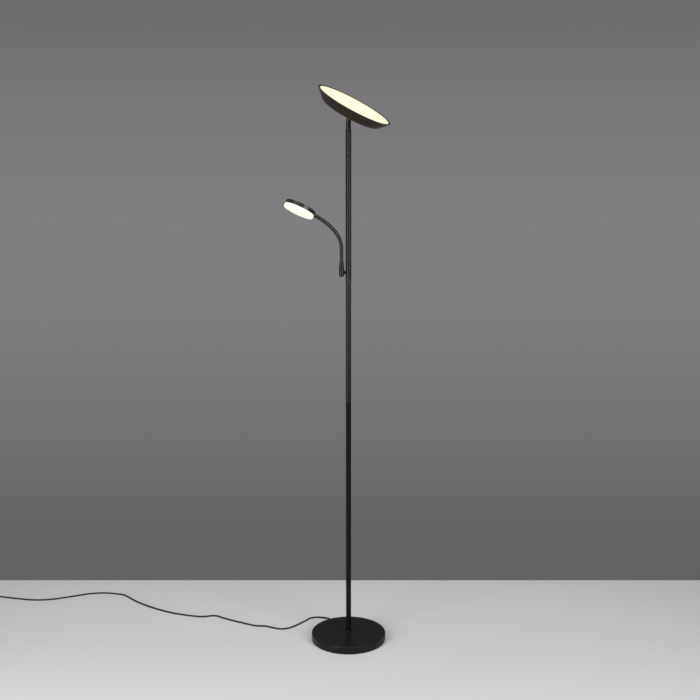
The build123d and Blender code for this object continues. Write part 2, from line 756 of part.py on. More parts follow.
with BuildPart() as plug_body:
    with BuildSketch(plug_plan):
        with BuildLine():
            Polyline(
                (relief_length, -6.5),
                (relief_length + 17, -half_width),
                (plug_front, -half_width),
                (plug_front, half_width),
                (relief_length + 17, half_width),
                (relief_length, 6.5),
                close=True,
            )
        make_face()
    extrude(amount=2 * PLUG_HEIGHT)
    fillet(plug_body.edges().filter_by(Axis.Z), radius=3)
    fillet(plug_body.faces().filter_by(Axis.Z).edges(), radius=1.5)
    with BuildSketch(plug_face):
        Circle(3.6)
    with BuildSketch(plug_face.offset(relief_length + 2)):
        Circle(5)
    loft()

with BuildPart() as plug_pins:
    with BuildSketch(plug_face.offset(plug_front)):
        with Locations((-9.3, 0), (9.3, 0)):
            Circle(2)
    extrude(amount=19)
    fillet(plug_pins.faces().sort_by(Axis(plug_tip, plug_way))[-2:].edges(), radius=1.2)

# ---- write every piece ---------------------------------------------------------------------------

pieces = {
    "base_cover": base_cover,
    "base_weight": base_weight,
    "base_pad": base_pad,
    "base_collar": base_collar,
    "base_stud": base_stud,
    "base_washer": base_washer,
    "base_nut": base_nut,
    "cord_gland": cord_gland,
    "inner_lead": inner_lead,
    "bottom_tube": bottom_tube,
    "lower_tube": lower_tube,
    "middle_tube": middle_tube,
    "upper_tube": upper_tube,
    "tube_inserts": tube_inserts,
    "touch_ring": touch_ring,
    "touch_insulators": touch_insulators,
    "top_bush": top_bush,
    "arm_stub": arm_stub,
    "stub_saddle": stub_saddle,
    "stub_nut": stub_nut,
    "arm_socket": arm_socket,
    "socket_cap": socket_cap,
    "arm_spindle": arm_spindle,
    "spindle_nut": spindle_nut,
    "read_ferrule": read_ferrule,
    "read_nut": read_nut,
    "read_housing": read_housing,
    "read_plate": read_plate,
    "read_board": read_board,
    "read_leds": read_leds,
    "read_screws": read_screws,
    "read_diffuser": read_diffuser,
    "neck_stem": neck_stem,
    "swivel_nut": swivel_nut,
    "tilt_screw": tilt_screw,
    "tilt_nut": tilt_nut,
    "tilt_washers": tilt_washers,
    "tilt_bracket": tilt_bracket,
    "head_bowl": head_bowl,
    "head_spacers": head_spacers,
    "head_tray": head_tray,
    "head_screws": head_screws,
    "head_board": head_board,
    "head_leds": head_leds,
    "head_driver": head_driver,
    "head_lead": head_lead,
    "head_diffuser": head_diffuser,
    "head_rim": head_rim,
    "cord_lead": cord_lead,
    "cord_coil": cord_coil,
    "plug_body": plug_body,
    "plug_pins": plug_pins,
}
for number, link in enumerate(links, start=1):
    pieces[f"gooseneck_link_{number}"] = link

os.makedirs("parts", exist_ok=True)
for name, piece in pieces.items():
    piece.part.label = name
    export_step(piece.part, f"parts/{name}.step")
print(len(pieces), "pieces")
print("neck joints", [tuple(round(c, 4) for c in neck_point(*joint[:2])) for joint in neck_joints])
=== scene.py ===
"""The looks of a torchiere floor lamp with a gooseneck reading arm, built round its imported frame.

Metres, +Z up, in the frame's own place: the origin is the centre of the base's underside, -Y is the
front, and the reading arm stands on the -X side.
"""

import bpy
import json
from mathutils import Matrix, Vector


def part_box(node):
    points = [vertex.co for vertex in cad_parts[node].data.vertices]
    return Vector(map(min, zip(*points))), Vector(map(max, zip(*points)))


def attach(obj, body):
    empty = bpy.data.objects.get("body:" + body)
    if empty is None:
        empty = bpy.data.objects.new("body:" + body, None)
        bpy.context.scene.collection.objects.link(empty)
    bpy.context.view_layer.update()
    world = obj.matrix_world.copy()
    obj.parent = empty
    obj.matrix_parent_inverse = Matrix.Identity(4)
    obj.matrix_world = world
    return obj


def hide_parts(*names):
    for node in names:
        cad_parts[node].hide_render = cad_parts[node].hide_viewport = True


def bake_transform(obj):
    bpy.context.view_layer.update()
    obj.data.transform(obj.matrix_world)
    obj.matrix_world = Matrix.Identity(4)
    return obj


bl_info = {
    "name": "Torchiere Floor Lamp",
    "version": (1, 0, 0),
    "blender": (4, 5, 0),
    "location": "View3D > Sidebar > Floor Lamp",
    "description": "Builds the pieces, finishes and studio of a floor lamp with a reading arm",
    "category": "Add Mesh",
}

import json
from math import cos, pi, radians, sin, tau

import bmesh
import bpy
from bpy.props import FloatProperty, FloatVectorProperty, IntProperty, PointerProperty
from bpy.types import Operator, Panel, PropertyGroup
from mathutils import Matrix, Vector

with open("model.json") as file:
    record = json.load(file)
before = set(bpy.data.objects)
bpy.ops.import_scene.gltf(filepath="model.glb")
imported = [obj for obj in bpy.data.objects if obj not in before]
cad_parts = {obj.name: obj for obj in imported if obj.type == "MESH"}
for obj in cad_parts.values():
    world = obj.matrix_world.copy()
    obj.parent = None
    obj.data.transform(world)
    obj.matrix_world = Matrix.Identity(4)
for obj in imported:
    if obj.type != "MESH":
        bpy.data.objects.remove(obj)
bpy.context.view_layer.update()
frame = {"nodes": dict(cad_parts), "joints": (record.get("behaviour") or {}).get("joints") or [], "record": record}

# ---- places and sizes -----------------------------------------------------------------------------

JOINTS = {joint["name"]: joint for joint in frame["joints"]}
UP = Vector((0, 0, 1))
MERGE = 1e-6

# How many steps a full turn has in wide, middling, small and tiny pieces, and how many a rounding has
WIDE_STEPS = 192
HEAD_STEPS = 128
TURN_STEPS = 96
TUBE_STEPS = 64
SMALL_STEPS = 48
WIRE_STEPS = 40
PIN_STEPS = 32
ROUND_STEPS = 5


def joint_place(name):
    """Where a joint stands at rest."""
    return Vector(JOINTS[name]["pos_m"])


def joint_axis(name):
    """The direction that a joint turns about."""
    return Vector(JOINTS[name]["axis"]).normalized()


def radius_of(node):
    """The radius of an upright round node."""
    low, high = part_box(node)
    return (high.x - low.x) / 2


def levels_of(node):
    """The lowest and highest level of a node."""
    low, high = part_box(node)
    return low.z, high.z


ARM_FOOT = joint_place("arm_swivel")
ARM_OUT = joint_axis("bend_1").cross(UP)
NECK_FOOT = Vector((ARM_FOOT.x, ARM_FOOT.y, levels_of("arm_spindle")[1]))
NECK_RADIUS = radius_of("gooseneck_link_1")
LINK_LENGTH = (joint_place("bend_1") - NECK_FOOT).length
LINK_TURNS = (0, 2, 21, 14, 10, 6, 6, 4)  # how much each link of the neck bends at rest, in degrees
READ_RADIUS = 0.0488
READ_HOUSING = 0.012
READ_DRUM = 0.012
FERRULE_LENGTH = 0.006

PIVOT = joint_place("head_tilt")
TILT_AXIS = joint_axis("head_tilt")
HEAD_SIDE = TILT_AXIS.cross(UP)
HEAD_TILT = radians(31)
BOWL_FLOOR = 0.008
BOWL_RIM = 0.0415
BOWL_FLOOR_RADIUS = 0.094
BOWL_RIM_RADIUS = 0.1252
BOWL_WALL = 0.0012
LIT_RADIUS = 0.1188

LEAD_RADIUS = 0.00275
LEAD_LEVEL = 0.007
LEAD_AZIMUTH = radians(115)
LEAD_OUT = Vector((cos(LEAD_AZIMUTH), sin(LEAD_AZIMUTH), 0))
GLAND_LENGTH = 0.02
BASE_RADIUS = radius_of("base_cover")
LEAD_EXIT = LEAD_OUT * (BASE_RADIUS + GLAND_LENGTH) + UP * LEAD_LEVEL
COIL_LOW, COIL_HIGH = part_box("cord_coil")
COIL_CENTRE = Vector(((COIL_LOW.x + COIL_HIGH.x) / 2, (COIL_LOW.y + COIL_HIGH.y) / 2, 0))
PLUG_ANGLE = radians(234)
PLUG_LEVEL = 0.00685
PLUG_WAY = Vector((-sin(PLUG_ANGLE), cos(PLUG_ANGLE), 0))
TOP_TURN_RADIUS = 0.033
LEAVING = COIL_CENTRE + Vector((cos(PLUG_ANGLE), sin(PLUG_ANGLE), 0)) * TOP_TURN_RADIUS
PLUG_TIP = LEAVING + PLUG_WAY * 0.02 + UP * PLUG_LEVEL


def standing(origin, up, ahead=Vector((1, 0, 0))):
    """The matrix of a place whose Z runs along up and whose X is as near as it can be to ahead."""
    z = up.normalized()
    x = (ahead - z * ahead.dot(z)).normalized()
    y = z.cross(x)
    return Matrix.Translation(origin) @ Matrix((x, y, z)).transposed().to_4x4()


def arc(length, bend):
    """The matrix from one end of an arc to the other. It leaves along Z and bends towards X."""
    if not bend:
        return Matrix.Translation((0, 0, length))
    radius = length / bend
    across, along = radius * (1 - cos(bend)), radius * sin(bend)
    return Matrix.Translation((across, 0, along)) @ Matrix.Rotation(bend, 4, "Y")


def neck_at(distance):
    """The place of the neck's cross-section at a distance from its foot."""
    place = standing(NECK_FOOT, UP, ARM_OUT)
    for turn in LINK_TURNS:
        step = min(distance, LINK_LENGTH)
        place = place @ arc(step, radians(turn) * step / LINK_LENGTH)
        distance -= step
        if distance <= 0:
            break
    return place


NECK_LENGTH = LINK_LENGTH * len(LINK_TURNS)
NECK_END = neck_at(NECK_LENGTH)
READ_OUT = NECK_END.to_3x3() @ UP
READ_UP = NECK_END.to_3x3() @ Vector((-1, 0, 0))
READ_CENTRE = NECK_END.translation + READ_OUT * (FERRULE_LENGTH + READ_RADIUS)
READ_PLACE = standing(READ_CENTRE, READ_UP, READ_OUT)

HEAD_UP = HEAD_SIDE * sin(HEAD_TILT) + UP * cos(HEAD_TILT)
HEAD_PLACE = standing(PIVOT, HEAD_UP, HEAD_SIDE)
UPRIGHT = Matrix.Identity(4)

# The lead's route: down from the gland, then along the floor as far as the coil
LEAD_DROP = (
    LEAD_EXIT,
    LEAD_EXIT + LEAD_OUT * 0.0135,
    (-0.0765, 0.1545, 0.0058),
    (-0.0920, 0.1610, 0.0042),
)
LEAD_ON_FLOOR = (
    *((-0.1120, 0.1680), (-0.1330, 0.1610), (-0.1490, 0.1380), (-0.1780, 0.1000), (-0.2070, 0.0715)),
    *((-0.2360, 0.0680), (-0.2620, 0.0805), (-0.2880, 0.0945), (-0.3170, 0.0925), (-0.3490, 0.1095)),
    *((-0.4030, 0.1380), (-0.4410, 0.1610), (-0.4610, 0.1780), (-0.4820, 0.1805), (-0.5090, 0.1690)),
    *((-0.5460, 0.1765), (-0.6010, 0.1930), (-0.6560, 0.2190), (-0.7130, 0.2560), (-0.7690, 0.3005)),
    *((-0.8070, 0.3420), (-0.8320, 0.3695), (-0.8600, 0.3775), (-0.9050, 0.3890), (-0.9620, 0.3820)),
    *((-1.0250, 0.3520), (-1.0920, 0.3230), (-1.1600, 0.3190), (-1.2280, 0.3360), (-1.2770, 0.3510)),
    *((-1.3180, 0.35375), (-1.3500, 0.35375)),
)
LEAD_ROUTE = (*LEAD_DROP, *((x, y, LEAD_RADIUS) for x, y in LEAD_ON_FLOOR))

# The coil's turns, as the lead goes round: at which angle in degrees it has which radius and level
COIL_START, COIL_END, COIL_STEP = 90, 954, 20
OUTER_TURN_RADIUS = 0.03575
INNER_TURN_RADIUS = 0.03025
COIL_RADII = (
    (410, OUTER_TURN_RADIUS),
    (455, INNER_TURN_RADIUS),
    (790, INNER_TURN_RADIUS),
    (850, TOP_TURN_RADIUS),
)
COIL_LEVELS = ((770, LEAD_RADIUS), (850, 0.0076), (930, 0.0080))
# How far past the coil, and how high, the lead runs into the plug
PLUG_APPROACH = ((0.001, 0.0083), (0.009, 0.0086), (0.016, 0.0078), (0.0215, PLUG_LEVEL), (0.027, PLUG_LEVEL))


def coil_route():
    """The lead's points from the coil to the plug: two flat turns, then a part turn that lies on them."""
    reach = 1 / cos(radians(COIL_STEP) / 2)
    points = []
    for angle in range(COIL_START, COIL_END + 1, COIL_STEP):
        outward = Vector((cos(radians(angle)), sin(radians(angle)), 0))
        radius, level = blend_of(angle, *COIL_RADII), blend_of(angle, *COIL_LEVELS)
        points.append(COIL_CENTRE + outward * radius * reach + UP * level)
    for ahead, level in PLUG_APPROACH:
        points.append(LEAVING + PLUG_WAY * ahead + UP * level)
    return points


def blend_of(value, *stops):
    """The value read from a line of stops, each a (place, value), with smooth steps between them."""
    if value <= stops[0][0]:
        return stops[0][1]
    for (before, low), (after, high) in zip(stops, stops[1:]):
        if value <= after:
            share = (value - before) / (after - before)
            return low + (high - low) * share * share * (3 - 2 * share)
    return stops[-1][1]


# ---- properties -----------------------------------------------------------------------------------


class LampShape(PropertyGroup):
    """Sizes of the lamp's made pieces."""

    edge: FloatProperty(
        name="Edge", description="Rounding of a turned metal edge", default=0.0004, unit="LENGTH"
    )
    base_edge: FloatProperty(
        name="Base edge", description="Rounding of the base's upper edge", default=0.003, unit="LENGTH"
    )
    bowl_corner: FloatProperty(
        name="Bowl corner", description="Rounding of the bowl's lower corner", default=0.012, unit="LENGTH"
    )
    neck_turns: IntProperty(
        name="Neck turns", description="Turns of wire in one link of the neck", default=8, min=2
    )
    neck_bore: FloatProperty(
        name="Neck bore", description="Radius of the hole through the neck", default=0.0032, unit="LENGTH"
    )


class LampFinish(PropertyGroup):
    """Colours of the lamp's finishes."""

    coat: FloatVectorProperty(
        name="Powder coat",
        description="Colour of the coated metal",
        default=(0.0055, 0.0053, 0.0050),
        subtype="COLOR",
    )
    # The bowl's colour: its black coat with a painted warm glow from the lit disc mixed in.
    bowl_coat_and_glow: FloatVectorProperty(
        name="Bowl's coat",
        description="Colour of the uplighter's bowl",
        default=(0.021, 0.0145, 0.0095),
        subtype="COLOR",
    )
    satin: FloatVectorProperty(
        name="Satin paint",
        description="Colour of the reading head",
        default=(0.012, 0.0118, 0.0115),
        subtype="COLOR",
    )
    sheath: FloatVectorProperty(
        name="Sheath",
        description="Colour of the lead's sheath",
        default=(0.0065, 0.0065, 0.0065),
        subtype="COLOR",
    )
    opal: FloatVectorProperty(
        name="Opal", description="Colour of the diffusers", default=(0.12, 0.115, 0.10), subtype="COLOR"
    )
    glow: FloatVectorProperty(
        name="Glow",
        description="Light at the middle of the uplighter",
        default=(0.86, 0.84, 0.65),
        subtype="COLOR",
    )
    glow_edge: FloatVectorProperty(
        name="Glow at the edge",
        description="Light at the uplighter's edge",
        default=(0.84, 0.80, 0.56),
        subtype="COLOR",
    )
    read_glow: FloatVectorProperty(
        name="Reading glow",
        description="Light at the middle of the reading head",
        default=(0.87, 0.88, 0.73),
        subtype="COLOR",
    )
    read_glow_edge: FloatVectorProperty(
        name="Reading glow at the edge",
        description="Light at the reading head's edge",
        default=(0.90, 0.90, 0.80),
        subtype="COLOR",
    )
    glow_strength: FloatProperty(
        name="Glow strength", description="How strongly the diffusers shine", default=1.0, min=0
    )


class Studio(PropertyGroup):
    """The floor, the backdrop and the lights."""

    floor: FloatVectorProperty(
        name="Floor", description="Colour of the floor", default=(0.62, 0.62, 0.63), subtype="COLOR"
    )
    # The wall's colour, which its painted light and shade scale and which it glows with.
    backdrop: FloatVectorProperty(
        name="Backdrop", description="Tone of the wall", default=(0.208, 0.206, 0.213), subtype="COLOR"
    )
    wall_y: FloatProperty(
        name="Wall", description="How far the wall stands behind the lamp", default=0.52, unit="LENGTH"
    )
    haze: FloatProperty(name="Haze", description="Grey light from all round", default=0.03, min=0)
    key_power: FloatProperty(
        name="Key light", description="Power of the left light", default=60, unit="POWER"
    )
    fill_power: FloatProperty(
        name="Fill light", description="Power of the right light", default=50, unit="POWER"
    )
    top_power: FloatProperty(
        name="Top light", description="Power of the light above", default=52, unit="POWER"
    )


# ---- shader groups --------------------------------------------------------------------------------


def node(tree, kind, values=(), **settings):
    """A new node with its settings made and its free inputs given their values."""
    made = tree.nodes.new(kind)
    for name, value in settings.items():
        setattr(made, name, value)
    for name, value in dict(values).items():
        made.inputs[name].default_value = value
    return made


def shader_group(name, inputs, outputs):
    """An empty shader group with its sockets, and the nodes at its two ends."""
    group = bpy.data.node_groups.new(name, "ShaderNodeTree")
    for label, default in inputs.items():
        socket = group.interface.new_socket(name=label, in_out="INPUT", socket_type="NodeSocketFloat")
        socket.default_value = default
    for label, kind in outputs.items():
        group.interface.new_socket(name=label, in_out="OUTPUT", socket_type=kind)
    return group, node(group, "NodeGroupInput"), node(group, "NodeGroupOutput")


def place_of_surface(tree, scale=(1, 1, 1)):
    """The output that gives a surface's place in the frame, stretched by a scale."""
    place = node(tree, "ShaderNodeTexCoord")
    mapping = node(tree, "ShaderNodeMapping", {"Scale": scale})
    tree.links.new(place.outputs["Object"], mapping.inputs["Vector"])
    return mapping.outputs["Vector"]


def noise(tree, where, scale, detail=2.0, roughness=0.5):
    """A noise node's value. The scale is a number or a socket."""
    made = node(tree, "ShaderNodeTexNoise", {"Detail": detail, "Roughness": roughness})
    tree.links.new(where, made.inputs["Vector"])
    if isinstance(scale, (int, float)):
        made.inputs["Scale"].default_value = scale
    else:
        tree.links.new(scale, made.inputs["Scale"])
    return made.outputs["Fac"]


def spread(tree, value, low, high, start=0.3, end=0.7):
    """A value from a noise's middle stretched to run from low to high."""
    ends = {"From Min": start, "From Max": end, "To Min": low, "To Max": high}
    made = node(tree, "ShaderNodeMapRange", ends)
    tree.links.new(value, made.inputs["Value"])
    return made.outputs["Result"]


def sum_of(tree, first, second, share):
    """The first value plus a share of the second."""
    made = node(tree, "ShaderNodeMath", operation="MULTIPLY_ADD")
    tree.links.new(second, made.inputs[0])
    made.inputs[1].default_value = share
    tree.links.new(first, made.inputs[2])
    return made.outputs["Value"]


TEXTURE_OUTPUTS = {"Tone": "NodeSocketFloat", "Roughness": "NodeSocketFloat", "Height": "NodeSocketFloat"}


def powder_group():
    """Sprayed and baked powder: fine grains on a slow orange-peel wave, a little uneven in gloss."""
    group, start, end = shader_group("Powder Coat", {"Grain": 1500.0, "Matt": 0.5}, TEXTURE_OUTPUTS)
    where = place_of_surface(group)
    grain = noise(group, where, start.outputs["Grain"], 2.0, 0.6)
    peel = noise(group, where, 420.0, 1.0)
    cloud = noise(group, where, 14.0, 3.0)
    group.links.new(sum_of(group, grain, peel, 0.6), end.inputs["Height"])
    group.links.new(spread(group, cloud, 0.0, 1.0), end.inputs["Tone"])
    uneven = spread(group, sum_of(group, grain, cloud, 1.0), -0.05, 0.05, 0.7, 1.3)
    group.links.new(sum_of(group, start.outputs["Matt"], uneven, 1.0), end.inputs["Roughness"])
    return group


def grain_group():
    """Moulded plastic: a fine even grain with slow changes of gloss."""
    group, start, end = shader_group("Moulded Grain", {"Grain": 2600.0, "Matt": 0.45}, TEXTURE_OUTPUTS)
    where = place_of_surface(group)
    grain = noise(group, where, start.outputs["Grain"], 1.0)
    cloud = noise(group, where, 60.0, 2.0)
    group.links.new(grain, end.inputs["Height"])
    group.links.new(spread(group, cloud, 0.0, 1.0), end.inputs["Tone"])
    uneven = spread(group, cloud, -0.06, 0.06)
    group.links.new(sum_of(group, start.outputs["Matt"], uneven, 1.0), end.inputs["Roughness"])
    return group


def drawn_group():
    """Drawn or plated metal: streaks along Z, faint blotches and a grain across them."""
    group, start, end = shader_group("Drawn Metal", {"Streaks": 900.0, "Matt": 0.3}, TEXTURE_OUTPUTS)
    streaks = noise(group, place_of_surface(group, (1, 1, 0.03)), start.outputs["Streaks"], 3.0, 0.6)
    blotch = noise(group, place_of_surface(group), 150.0, 3.0)
    group.links.new(streaks, end.inputs["Height"])
    both = sum_of(group, streaks, blotch, 1.0)
    group.links.new(spread(group, both, 0.0, 1.0, 0.7, 1.3), end.inputs["Tone"])
    uneven = spread(group, blotch, -0.07, 0.07)
    group.links.new(sum_of(group, start.outputs["Matt"], uneven, 1.0), end.inputs["Roughness"])
    return group


def dust_group():
    """Where dust settles: on what faces up, in patches."""
    group, start, end = shader_group("Settled Dust", {"Amount": 0.1}, {"Mask": "NodeSocketFloat"})
    facing = node(group, "ShaderNodeSeparateXYZ")
    group.links.new(node(group, "ShaderNodeNewGeometry").outputs["Normal"], facing.inputs["Vector"])
    upward = spread(group, facing.outputs["Z"], 0.0, 1.0, 0.5, 1.0)
    patches = spread(group, noise(group, place_of_surface(group), 45.0, 6.0, 0.7), 0.2, 1.0)
    patched = node(group, "ShaderNodeMath", operation="MULTIPLY")
    group.links.new(upward, patched.inputs[0])
    group.links.new(patches, patched.inputs[1])
    amount = node(group, "ShaderNodeMath", operation="MULTIPLY")
    group.links.new(patched.outputs["Value"], amount.inputs[0])
    group.links.new(start.outputs["Amount"], amount.inputs[1])
    group.links.new(amount.outputs["Value"], end.inputs["Mask"])
    return group


def glow_group():
    """How far a spot is from the middle of a round diffuser, from 0 to 1, rising steeply at the edge."""
    inputs = {"X": 0.0, "Y": 0.0, "Z": 0.0, "Radius": 0.1}
    group, start, end = shader_group("Round Glow", inputs, {"Outward": "NodeSocketFloat"})
    centre = node(group, "ShaderNodeCombineXYZ")
    for label in "XYZ":
        group.links.new(start.outputs[label], centre.inputs[label])
    distance = node(group, "ShaderNodeVectorMath", operation="DISTANCE")
    group.links.new(place_of_surface(group), distance.inputs[0])
    group.links.new(centre.outputs["Vector"], distance.inputs[1])
    share = node(group, "ShaderNodeMath", operation="DIVIDE")
    group.links.new(distance.outputs["Value"], share.inputs[0])
    group.links.new(start.outputs["Radius"], share.inputs[1])
    steep = node(group, "ShaderNodeMath", operation="POWER", use_clamp=True)
    steep.inputs[1].default_value = 3.0
    group.links.new(share.outputs["Value"], steep.inputs[0])
    group.links.new(steep.outputs["Value"], end.inputs["Outward"])
    return group


GROUP_MAKERS = {
    "Powder Coat": powder_group,
    "Moulded Grain": grain_group,
    "Drawn Metal": drawn_group,
    "Settled Dust": dust_group,
    "Round Glow": glow_group,
}


def use_group(tree, name, values=()):
    """A shared group placed in a material with its own values."""
    group = bpy.data.node_groups.get(name) or GROUP_MAKERS[name]()
    return node(tree, "ShaderNodeGroup", values, node_tree=group)


# ---- materials ------------------------------------------------------------------------------------


def principled(name, values):
    """A new material, its tree and its shader with the shader's fixed values set."""
    material = bpy.data.materials.new(name)
    material.use_nodes = True
    shader = material.node_tree.nodes["Principled BSDF"]
    for label, value in values.items():
        shader.inputs[label].default_value = value
    return material, material.node_tree, shader


def mixed(tree, share, first, second):
    """A colour that runs from the first to the second with a share."""
    made = node(tree, "ShaderNodeMix", data_type="RGBA")
    made.inputs["A"].default_value = (*first, 1)
    tree.links.new(share, made.inputs["Factor"])
    if isinstance(second, bpy.types.NodeSocket):
        tree.links.new(second, made.inputs["B"])
    else:
        made.inputs["B"].default_value = (*second, 1)
    return made.outputs["Result"]


def bumped(tree, shader, height, distance, strength=1.0):
    """Raises the shader's surface by a height of at most a distance in metres."""
    bump = node(tree, "ShaderNodeBump", {"Strength": strength, "Distance": distance})
    tree.links.new(height, bump.inputs["Height"])
    tree.links.new(bump.outputs["Normal"], shader.inputs["Normal"])


DUST = (0.30, 0.29, 0.27, 1)


def surfaced(name, values, texture, texture_values, tones, relief, dust=0.0):
    """A material of one texture group: its tones, its gloss, its relief and the dust on it."""
    material, tree, shader = principled(name, values)
    texture_node = use_group(tree, texture, texture_values)
    colour = mixed(tree, texture_node.outputs["Tone"], *tones)
    if dust:
        settled = use_group(tree, "Settled Dust", {"Amount": dust})
        dusted = node(tree, "ShaderNodeMix", {"B": DUST}, data_type="RGBA")
        tree.links.new(settled.outputs["Mask"], dusted.inputs["Factor"])
        tree.links.new(colour, dusted.inputs["A"])
        colour = dusted.outputs["Result"]
    tree.links.new(colour, shader.inputs["Base Color"])
    tree.links.new(texture_node.outputs["Roughness"], shader.inputs["Roughness"])
    bumped(tree, shader, texture_node.outputs["Height"], relief)
    return material


def shades(colour, change):
    """A colour made darker and lighter by a share."""
    return tuple(c * (1 - change) for c in colour), tuple(c * (1 + change) for c in colour)


def sprayed(name, colour, change, gloss, matt, dust, grain=1500.0, relief=0.000014):
    """A sprayed coat of powder or paint. Its tone changes by a share of its colour."""
    texture = {"Grain": grain, "Matt": matt}
    tones = shades(colour, change)
    return surfaced(name, {"Specular IOR Level": gloss}, "Powder Coat", texture, tones, relief, dust)


def moulded(name, tones, gloss, matt, grain, relief=0.00002, dust=0.01):
    """A moulded plastic or a lacquer with a fine grain."""
    texture = {"Grain": grain, "Matt": matt}
    return surfaced(name, {"Specular IOR Level": gloss}, "Moulded Grain", texture, tones, relief, dust)


def drawn(name, tones, matt, streaks, relief, metallic=1.0, gloss=0.5):
    """A drawn, rolled, turned or plated metal."""
    values = {"Metallic": metallic, "Specular IOR Level": gloss}
    return surfaced(name, values, "Drawn Metal", {"Streaks": streaks, "Matt": matt}, tones, relief)


def powder_coat():
    """Black polyester powder, matt and finely textured."""
    return sprayed("powder_black", bpy.context.scene.lamp_finish.coat, 0.10, 0.20, 0.36, 0.016)


def shaded_coat():
    """The lower tubes' powder: the same black with less gloss and less dust, a darker copy of the coat that paints
    the shade falling towards the floor.
    """
    return sprayed("powder_painted_shade", bpy.context.scene.lamp_finish.coat, 0.10, 0.06, 0.42, 0.004)


def glow_tinted_coat():
    """The bowl's powder: the same texture in a warmer, lighter black, with a painted glow from the lit disc mixed
    into the coat's colour.
    """
    return sprayed("powder_painted_glow", bpy.context.scene.lamp_finish.bowl_coat_and_glow, 0.10, 0.24, 0.38, 0.006)


def satin_paint():
    """Black satin paint on the reading head."""
    colour = bpy.context.scene.lamp_finish.satin
    return sprayed("satin_black", colour, 0.08, 0.45, 0.33, 0.006, grain=2200.0, relief=0.000008)


def blackened_wire():
    """Black lacquered wire of the gooseneck, a little uneven in tone."""
    tones = ((0.009, 0.009, 0.009), (0.022, 0.0215, 0.021))
    return drawn("neck_wire", tones, 0.36, 1200.0, 0.00001, metallic=0.1, gloss=0.4)


def touch_metal():
    """Smooth dark plating of the ring that senses a touch, and of the hinge's screw and nut."""
    tones = ((0.010, 0.010, 0.010), (0.016, 0.0158, 0.0155))
    return drawn("touch_metal", tones, 0.33, 1500.0, 0.000004, metallic=0.3, gloss=0.25)


def black_plastic():
    """Moulded black plastic."""
    return moulded("moulded_black", ((0.014, 0.014, 0.014), (0.022, 0.022, 0.022)), 0.5, 0.45, 2600.0)


def sheath():
    """The lead's soft black sheath, a little glossy."""
    tones = shades(bpy.context.scene.lamp_finish.sheath, 0.15)
    return moulded("lead_sheath", tones, 0.25, 0.42, 1800.0)


def cast_iron():
    """The weight: a rough grey casting."""
    texture = {"Grain": 900.0, "Matt": 0.62}
    tones = ((0.06, 0.056, 0.052), (0.12, 0.115, 0.11))
    return surfaced("cast_iron", {"Metallic": 0.7}, "Powder Coat", texture, tones, 0.0004)


def zinc_plated():
    """Zinc plated steel screws, nuts and washers."""
    return drawn("zinc_plated", ((0.42, 0.42, 0.43), (0.60, 0.59, 0.57)), 0.32, 1100.0, 0.00001)


def nickel_plated():
    """Nickel plated brass of the plug's pins."""
    return drawn("nickel_plated", ((0.60, 0.57, 0.51), (0.74, 0.71, 0.65)), 0.18, 1600.0, 0.000004)


def sheet_aluminium():
    """Rolled aluminium sheet and turned aluminium inserts."""
    return drawn("sheet_aluminium", ((0.60, 0.61, 0.62), (0.74, 0.75, 0.76)), 0.34, 700.0, 0.00001)


def solder_mask():
    """The white lacquer of an LED board."""
    tones = ((0.78, 0.78, 0.76), (0.86, 0.86, 0.84))
    return moulded("solder_mask", tones, 0.5, 0.35, 1200.0, relief=0.00001, dust=0.0)


def felt():
    """The pad under the base: short pressed fibres."""
    values = {"Sheen Weight": 0.4, "Sheen Roughness": 0.5}
    texture = {"Grain": 1000.0, "Matt": 0.92}
    tones = ((0.02, 0.02, 0.02), (0.06, 0.06, 0.06))
    return surfaced("felt_pad", values, "Moulded Grain", texture, tones, 0.0004)


def phosphor():
    """The yellow lenses of the LEDs, lit."""
    material, tree, shader = principled("led_phosphor", {"Emission Strength": 2.0, "Coat Weight": 0.5})
    mottle = use_group(tree, "Moulded Grain", {"Grain": 3000.0, "Matt": 0.2})
    for label, pale, deep in (
        ("Base Color", (0.85, 0.62, 0.16), (0.95, 0.74, 0.25)),
        ("Emission Color", (1.0, 0.84, 0.56), (1.0, 0.90, 0.66)),
    ):
        tree.links.new(mixed(tree, mottle.outputs["Tone"], pale, deep), shader.inputs[label])
    tree.links.new(mottle.outputs["Roughness"], shader.inputs["Roughness"])
    return material


def opal(name, centre, radius, middle, edge):
    """A lit opal diffuser, palest at its middle and warmer at its edge."""
    settings = bpy.context.scene.lamp_finish
    values = {"Emission Strength": settings.glow_strength, "Specular IOR Level": 0.4}
    material, tree, shader = principled(name, values)
    grain = use_group(tree, "Moulded Grain", {"Grain": 2000.0, "Matt": 0.4})
    place = {"X": centre.x, "Y": centre.y, "Z": centre.z, "Radius": radius}
    glow = use_group(tree, "Round Glow", place)
    lit = mixed(tree, glow.outputs["Outward"], middle, edge)
    tree.links.new(lit, shader.inputs["Emission Color"])
    tones = shades(settings.opal, 0.03)
    tree.links.new(mixed(tree, grain.outputs["Tone"], *tones), shader.inputs["Base Color"])
    tree.links.new(grain.outputs["Roughness"], shader.inputs["Roughness"])
    bumped(tree, shader, grain.outputs["Height"], 0.00001)
    return material


def read_opal():
    """The diffuser of the reading head."""
    colours = bpy.context.scene.lamp_finish
    centre = READ_CENTRE - READ_UP * (READ_HOUSING / 2 + READ_DRUM)
    return opal("read_opal", centre, READ_RADIUS, colours.read_glow, colours.read_glow_edge)


def head_opal():
    """The diffuser of the uplighter."""
    colours = bpy.context.scene.lamp_finish
    return opal("head_opal", PIVOT + HEAD_UP * BOWL_RIM, LIT_RADIUS, colours.glow, colours.glow_edge)


FINISHES = {}


def finish(maker):
    """The material that a function makes, made once."""
    if maker.__name__ not in FINISHES:
        FINISHES[maker.__name__] = maker()
    return FINISHES[maker.__name__]


# ---- mesh helpers ---------------------------------------------------------------------------------


